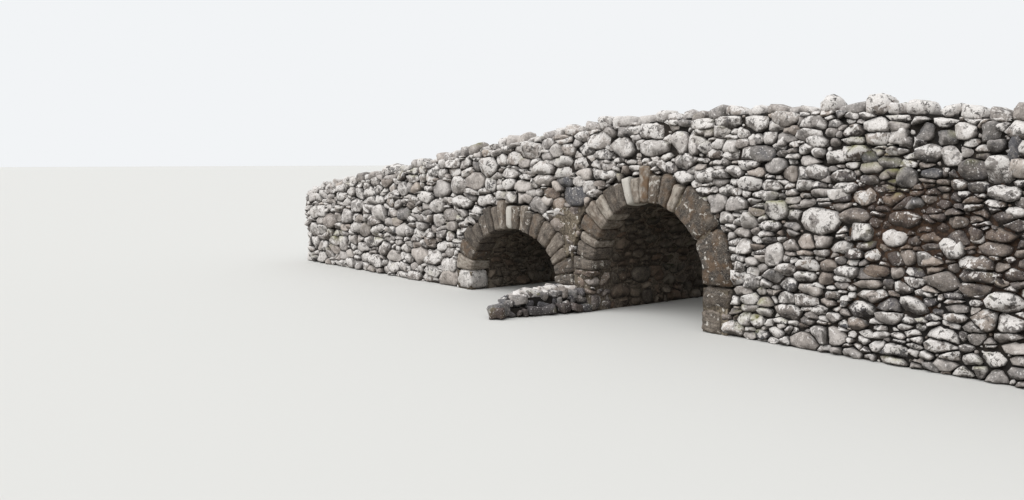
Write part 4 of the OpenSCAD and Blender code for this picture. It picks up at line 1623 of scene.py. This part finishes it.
def coping_boulders(node, rng):
    """The boulders of one length of coping: one or two on each of the model's beds. Each is its
    two ends along the bed, its middle and half width across, and its height."""
    rows = []
    for co in loose_parts(node):
        low, high = co.min(0), co.max(0)
        height = float((co[:, 2] - bed_z(co[:, 0])).max())
        cuts = [low[0], high[0]]
        if high[0] - low[0] > LONG_BED:
            cuts.insert(1, low[0] + (high[0] - low[0]) * rng.uniform(0.35, 0.65))
        for x0, x1 in zip(cuts, cuts[1:]):
            share = rng.uniform(0.62, 1.08) if len(cuts) == 3 else 1.0
            rows.append([x0, x1, (low[1] + high[1]) / 2, (high[1] - low[1]) / 2, height * share])
    return np.array(rows)


for face in WAYS:
    for side in LENGTHS:
        node = f"{face}_{side}_coping"
        rng = np.random.default_rng(101 + 10 * (face == "back") + LENGTHS.index(side))
        rows = coping_boulders(node, rng)
        count = len(rows)
        q, quads = COPING_GRID
        x0, x1, middle_y, half_y, height = (rows[:, k, None] for k in range(5))
        sunk = rng.uniform(0.03, 0.07, (count, 1))
        # A boulder's top slopes along the wall, one way or the other
        slope = rng.normal(0, 0.17, (count, 1)).clip(-0.3, 0.3)

        def on_bed(body):
            x = (x0 + x1) / 2 + body[..., 0] * (x1 - x0) / 2
            y = middle_y + body[..., 1] * half_y
            top = (height + sunk) * (1 - np.abs(slope) + slope * body[..., 0])
            z = bed_z(x) - sunk + (1 + body[..., 2]) / 2 * top
            return np.stack([x, y, z], -1)

        body, co = rough_blocks(q, rng.uniform(2.0, 3.8, count), on_bed, rng, 0.06)
        # The rim share grows towards each boulder's underside, so the finish darkens its lowest part: partly
        # earth, partly painted shade where it sits on its bed
        edge = 0.98 * (-body[..., 2]).clip(0, 1) ** 0.5
        look = wall_colours(np.stack([rows[:, 0], rows[:, 2], np.full(count, ON_TOP)], 1))
        part = alike(co, [quads], FIELDSTONE, look, edge)
        make_piece(f"{node}_boulders", "coping_stone", [part], node)

# %% [markdown]
# Cutwaters
#
# Each cutwater is a low heap of boulders against the pier, drawn out to a point.
# Three rows of them follow the model's plan, each on the one below and a little
# shorter. One large boulder takes the point, a long one caps the middle, and
# smaller pale ones lie between it and the pier. The rest are dark, and darker in
# the lower rows.
# Blocks set along a line by their widths keep to the model's plan, where stones
# dropped by a simulation could roll beyond it.

# %% Boulders of the cutwaters
CUTWATER_POWER = 1.4  # between a wedge's 1 and an ellipse's 2, as the model's plan is
HEAP_GRID = cube_grid((5, 4, 4))
# Each row from the foot up: where it starts and ends as shares of the height, its share of the
# reach, and its boulders' look as the least and the most of lightness, brownness and lichen
HEAP_ROWS = (
    (0.0, 0.42, 1.0, ((-0.3, 0.0), (0.1, 0.8), (0.0, 0.1))),
    (0.34, 0.72, 0.95, ((-0.3, 0.3), (0.0, 0.5), (0.0, 0.3))),
    (0.64, 1.0, 0.86, ((-0.1, 0.5), (0.0, 0.4), (0.0, 0.45))),
)
POINT_LOOK = ((0.15, 0.25), (0.0, 0.05), (0.0, 0.05))
CAP_LOOK = ((1.05, 1.15), (0.25, 0.35), (0.75, 0.85))
PALE_LOOK = ((0.75, 1.1), (0.1, 0.4), (0.4, 0.8))
COURSES = sorted({round(float(z), 3) for z in corners_of("front_cutwater")[:, 2]})
print("cutwater courses between", COURSES)


def plan_line(half_width, reach, way):
    """A cutwater's plan: half a superellipse, whose across and along shares to the power add up
    to one, walked with the outside on its right."""
    t = np.linspace(np.pi, 0, 90) if way < 0 else np.linspace(0, np.pi, 90)
    across = half_width * np.sign(np.cos(t)) * np.abs(np.cos(t)) ** (2 / CUTWATER_POWER)
    points = np.stack([PIER_MIDDLE + across, way * (OUTER + reach * np.sin(t) ** (2 / CUTWATER_POWER))], 1)
    step = np.gradient(points, axis=0)
    return Track(points, np.stack([step[:, 1], -step[:, 0]], 1) / np.hypot(*step.T)[:, None])


def set_down(centre, half, yaw, lean):
    """A place function for blocks that lie about: each is scaled to its half sizes, leant about
    its width, turned about the vertical and moved to its centre."""
    def place(body):
        x, y, z = (body[..., k] * half[:, k, None] for k in range(3))
        x, z = x * np.cos(lean) - z * np.sin(lean), x * np.sin(lean) + z * np.cos(lean)
        x, y = x * np.cos(yaw) - y * np.sin(yaw), x * np.sin(yaw) + y * np.cos(yaw)
        return np.stack([x, y, z], -1) + centre[:, None]

    return place


def heap(centre, half, yaw, rng, look, power=(3, 8)):
    """Boulders of a cutwater as a part of its piece. None reaches below the foot of the walls."""
    count = len(centre)
    place = set_down(centre, half, yaw[:, None], rng.normal(0, 0.22, (count, 1)))
    body, co = rough_blocks(HEAP_GRID[0], rng.uniform(*power, count), place, rng, 0.06)
    co[..., 2] = co[..., 2].clip(0.002)
    drawn = [rng.uniform(low, high, count) for low, high in look]
    # The rim share grows towards each boulder's underside, so the finish darkens its lowest part: partly
    # earth, partly painted shade where it lies on others
    return alike(co, [HEAP_GRID[1]], FIELDSTONE, drawn, 0.95 * (-body[..., 2]).clip(0, 1))


# %% Cutwaters
for face, way in WAYS.items():
    node = f"{face}_cutwater"
    co = corners_of(node)
    rng = np.random.default_rng(75 + (way > 0))
    parts = []
    nose = float(np.abs(co[:, 1]).max())
    for foot, head, drawn_out, look in HEAP_ROWS:
        z0, z1 = foot * COURSES[-1], head * COURSES[-1]
        level = co[np.abs(co[:, 2] - (0 if z1 < COURSES[1] else COURSES[-1])) < 0.002]
        half_width = float(np.abs(level[:, 0] - PIER_MIDDLE).max())
        reach = (float(np.abs(level[:, 1]).max()) - OUTER) * drawn_out
        line = plan_line(half_width, reach, way)
        width = rng.uniform(0.45, 1.7, round(line.length / 0.21))
        width = width * line.length / width.sum()
        count = len(width)
        half = np.stack([
            width * rng.uniform(0.36, 0.52, count), rng.uniform(0.08, 0.17, count),
            (z1 - z0) * rng.uniform(0.34, 0.56, count),
        ], 1)
        s = np.cumsum(width) - width / 2
        x, y = line.at(s, -half[:, 1] - rng.uniform(0.0, 0.07, count))
        ahead = np.stack(line.at(s + 0.01)) - np.stack(line.at(s - 0.01))
        yaw = np.arctan2(ahead[1], ahead[0]) + rng.normal(0, 0.3, count)
        centre = np.stack([x, y, z0 + half[:, 2] + rng.normal(0, 0.015, count)], 1)
        parts.append(heap(centre, half, yaw, rng, look))
    point = np.array([[PIER_MIDDLE + 0.02, way * (nose - 0.22), 0.12]])
    parts.append(heap(point, np.array([[0.16, 0.2, 0.13]]), np.array([0.35]), rng, POINT_LOOK, (3, 4)))
    cap = np.array([[PIER_MIDDLE - 0.02, way * (OUTER + reach - 0.42), COURSES[-1] - 0.07]])
    parts.append(heap(cap, np.array([[0.17, 0.34, 0.11]]), np.array([0.1]), rng, CAP_LOOK, (2.4, 2.8)))
    along = np.arange(0.1, reach - 0.75, 0.13)
    count = len(along)
    room = half_width * (1 - (along / reach) ** CUTWATER_POWER) ** (1 / CUTWATER_POWER)
    half = rng.uniform((0.12, 0.1, 0.07), (0.2, 0.16, 0.11), (count, 3))
    centre = np.stack([
        PIER_MIDDLE + rng.uniform(-0.6, 0.6, count) * room, way * (OUTER + along),
        COURSES[-1] + rng.uniform(-0.02, 0.04, count) - half[:, 2],
    ], 1)
    parts.append(heap(centre, half, rng.uniform(0, 3, count), rng, PALE_LOOK, (2.6, 5)))

    def shrunk(co, way=way):
        """Draws the cutwater's sides and tops in."""
        x = PIER_MIDDLE + (co[:, 0] - PIER_MIDDLE) * 0.75
        y = way * (OUTER + (co[:, 1] * way - OUTER) * 0.88)
        return np.stack([x, y, co[:, 2] - 0.09 * (co[:, 2] > 0.1)], 1)

    parts.append(core(node, JOINT_EARTH, bend=shrunk))
    make_piece(f"{face}_cutwater_boulders", "rubble_stone", parts, node)

# %% [markdown]
# The road
#
# The road is packed gravel with no kerb. It is a grid of heights: a slight crown
# across, two shallow wheel tracks, and lumps from noise.

# %% Gravel
ROAD_CELL = 0.06  # the step of the road's grid


def road_sheet(low, high):
    """The road's surface between two places, closed below. The height over the model's line is a
    crown of 10 mm, less two tracks of 12 mm, more where it is banked up by 40 mm against the
    parapets, and noise of 14 mm in all."""
    nx, ny = int((high - low) / ROAD_CELL), int(2 * INNER / ROAD_CELL)
    across = np.linspace(-INNER - 0.03, INNER + 0.03, ny + 1)
    x, y = np.meshgrid(np.linspace(low, high, nx + 1), across, indexing="ij")
    rise = 0.01 * (1 - (y / INNER) ** 2) - 0.012 * (bell(y, -0.75, 0.22) + bell(y, 0.75, 0.22))
    spots = np.stack([x, y, 0 * x], -1)
    banked = np.exp(-((INNER + 0.03 - np.abs(y)) / (0.13 + 0.05 * noise(spots * 2, 2))) ** 2)
    rise = rise + 0.04 * banked + 0.008 * noise(spots * 3) + 0.006 * noise(spots * 11, 1)
    above = np.stack([x, y, road_z(x) + rise], -1).reshape(-1, 3)
    below = np.stack([x, y, road_z(x) - ROAD_THICKNESS], -1).reshape(-1, 3)
    return closed_sheet(above, below, sheet_quads(nx + 1, ny + 1), GRAVEL)


for side, (low, high) in SPANS.items():
    part = road_sheet(max(low, LEFT_END), min(high, RIGHT_END))
    make_piece(f"{side}_road_gravel", "gravel", [part], f"{side}_road")
for side in LENGTHS:
    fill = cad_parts[f"{side}_fill"]
    for slot in fill.material_slots:
        slot.material = PACKED_EARTH

# %% [markdown]
# Floor and light
#
# The day was dull, so the light is a pale world with one broad, weak sun. The
# joints stay dark because the stones round them shut out most of that light.

# %% Floor
floor_mesh = bpy.data.meshes.new("floor")
FLOOR_REACH, FLOOR_LEVEL = 400, -0.002
square = [(i * FLOOR_REACH, k * FLOOR_REACH, FLOOR_LEVEL) for i, k in ((-1, -1), (1, -1), (1, 1), (-1, 1))]
floor_mesh.from_pydata(square, [], [(0, 1, 2, 3)])
floor = bpy.data.objects.new("floor", floor_mesh)
bpy.context.scene.collection.objects.link(floor)
floor_finish, tree, shader = new_finish("plain_pale_floor")
# The camera sees a pale floor, and the bridge gets less light back from it than that would give
seen = add(tree, "LightPath").outputs["Is Camera Ray"]
pale = blend(tree, seen, linear("#8f8c85"), linear("#d9d8d4"))
put(tree, shader, {"Base Color": pale, "Roughness": 0.9})
floor_mesh.materials.append(floor_finish)
floor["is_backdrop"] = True

# %% Light
world = bpy.data.worlds.new("overcast")
bpy.context.scene.world = world
world.use_nodes = True
tree = world.node_tree
seen = add(tree, "LightPath")
direct = sums(tree, "MAXIMUM", seen.outputs["Is Camera Ray"], seen.outputs["Is Glossy Ray"])
direct = sums(tree, "MAXIMUM", direct, seen.outputs["Is Transmission Ray"])
strength = span(tree, direct, 0, 1, 0.8, 1.0)
put(tree, tree.nodes["Background"], {"Color": linear("#f2f4f6"), "Strength": strength})

sun = bpy.data.objects.new("soft_sun", bpy.data.lights.new("soft_sun", "SUN"))
bpy.context.scene.collection.objects.link(sun)
sun.data.energy = 1.9
sun.data.angle = math.radians(60)
sun.rotation_euler = Vector((0.15, 0.8, -0.9)).to_track_quat("-Z", "Y").to_euler()
bpy.context.scene.view_settings.view_transform = "Standard"

# %% Size
low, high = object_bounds()
print("visual box:", [round(v, 3) for v in low], [round(v, 3) for v in high])
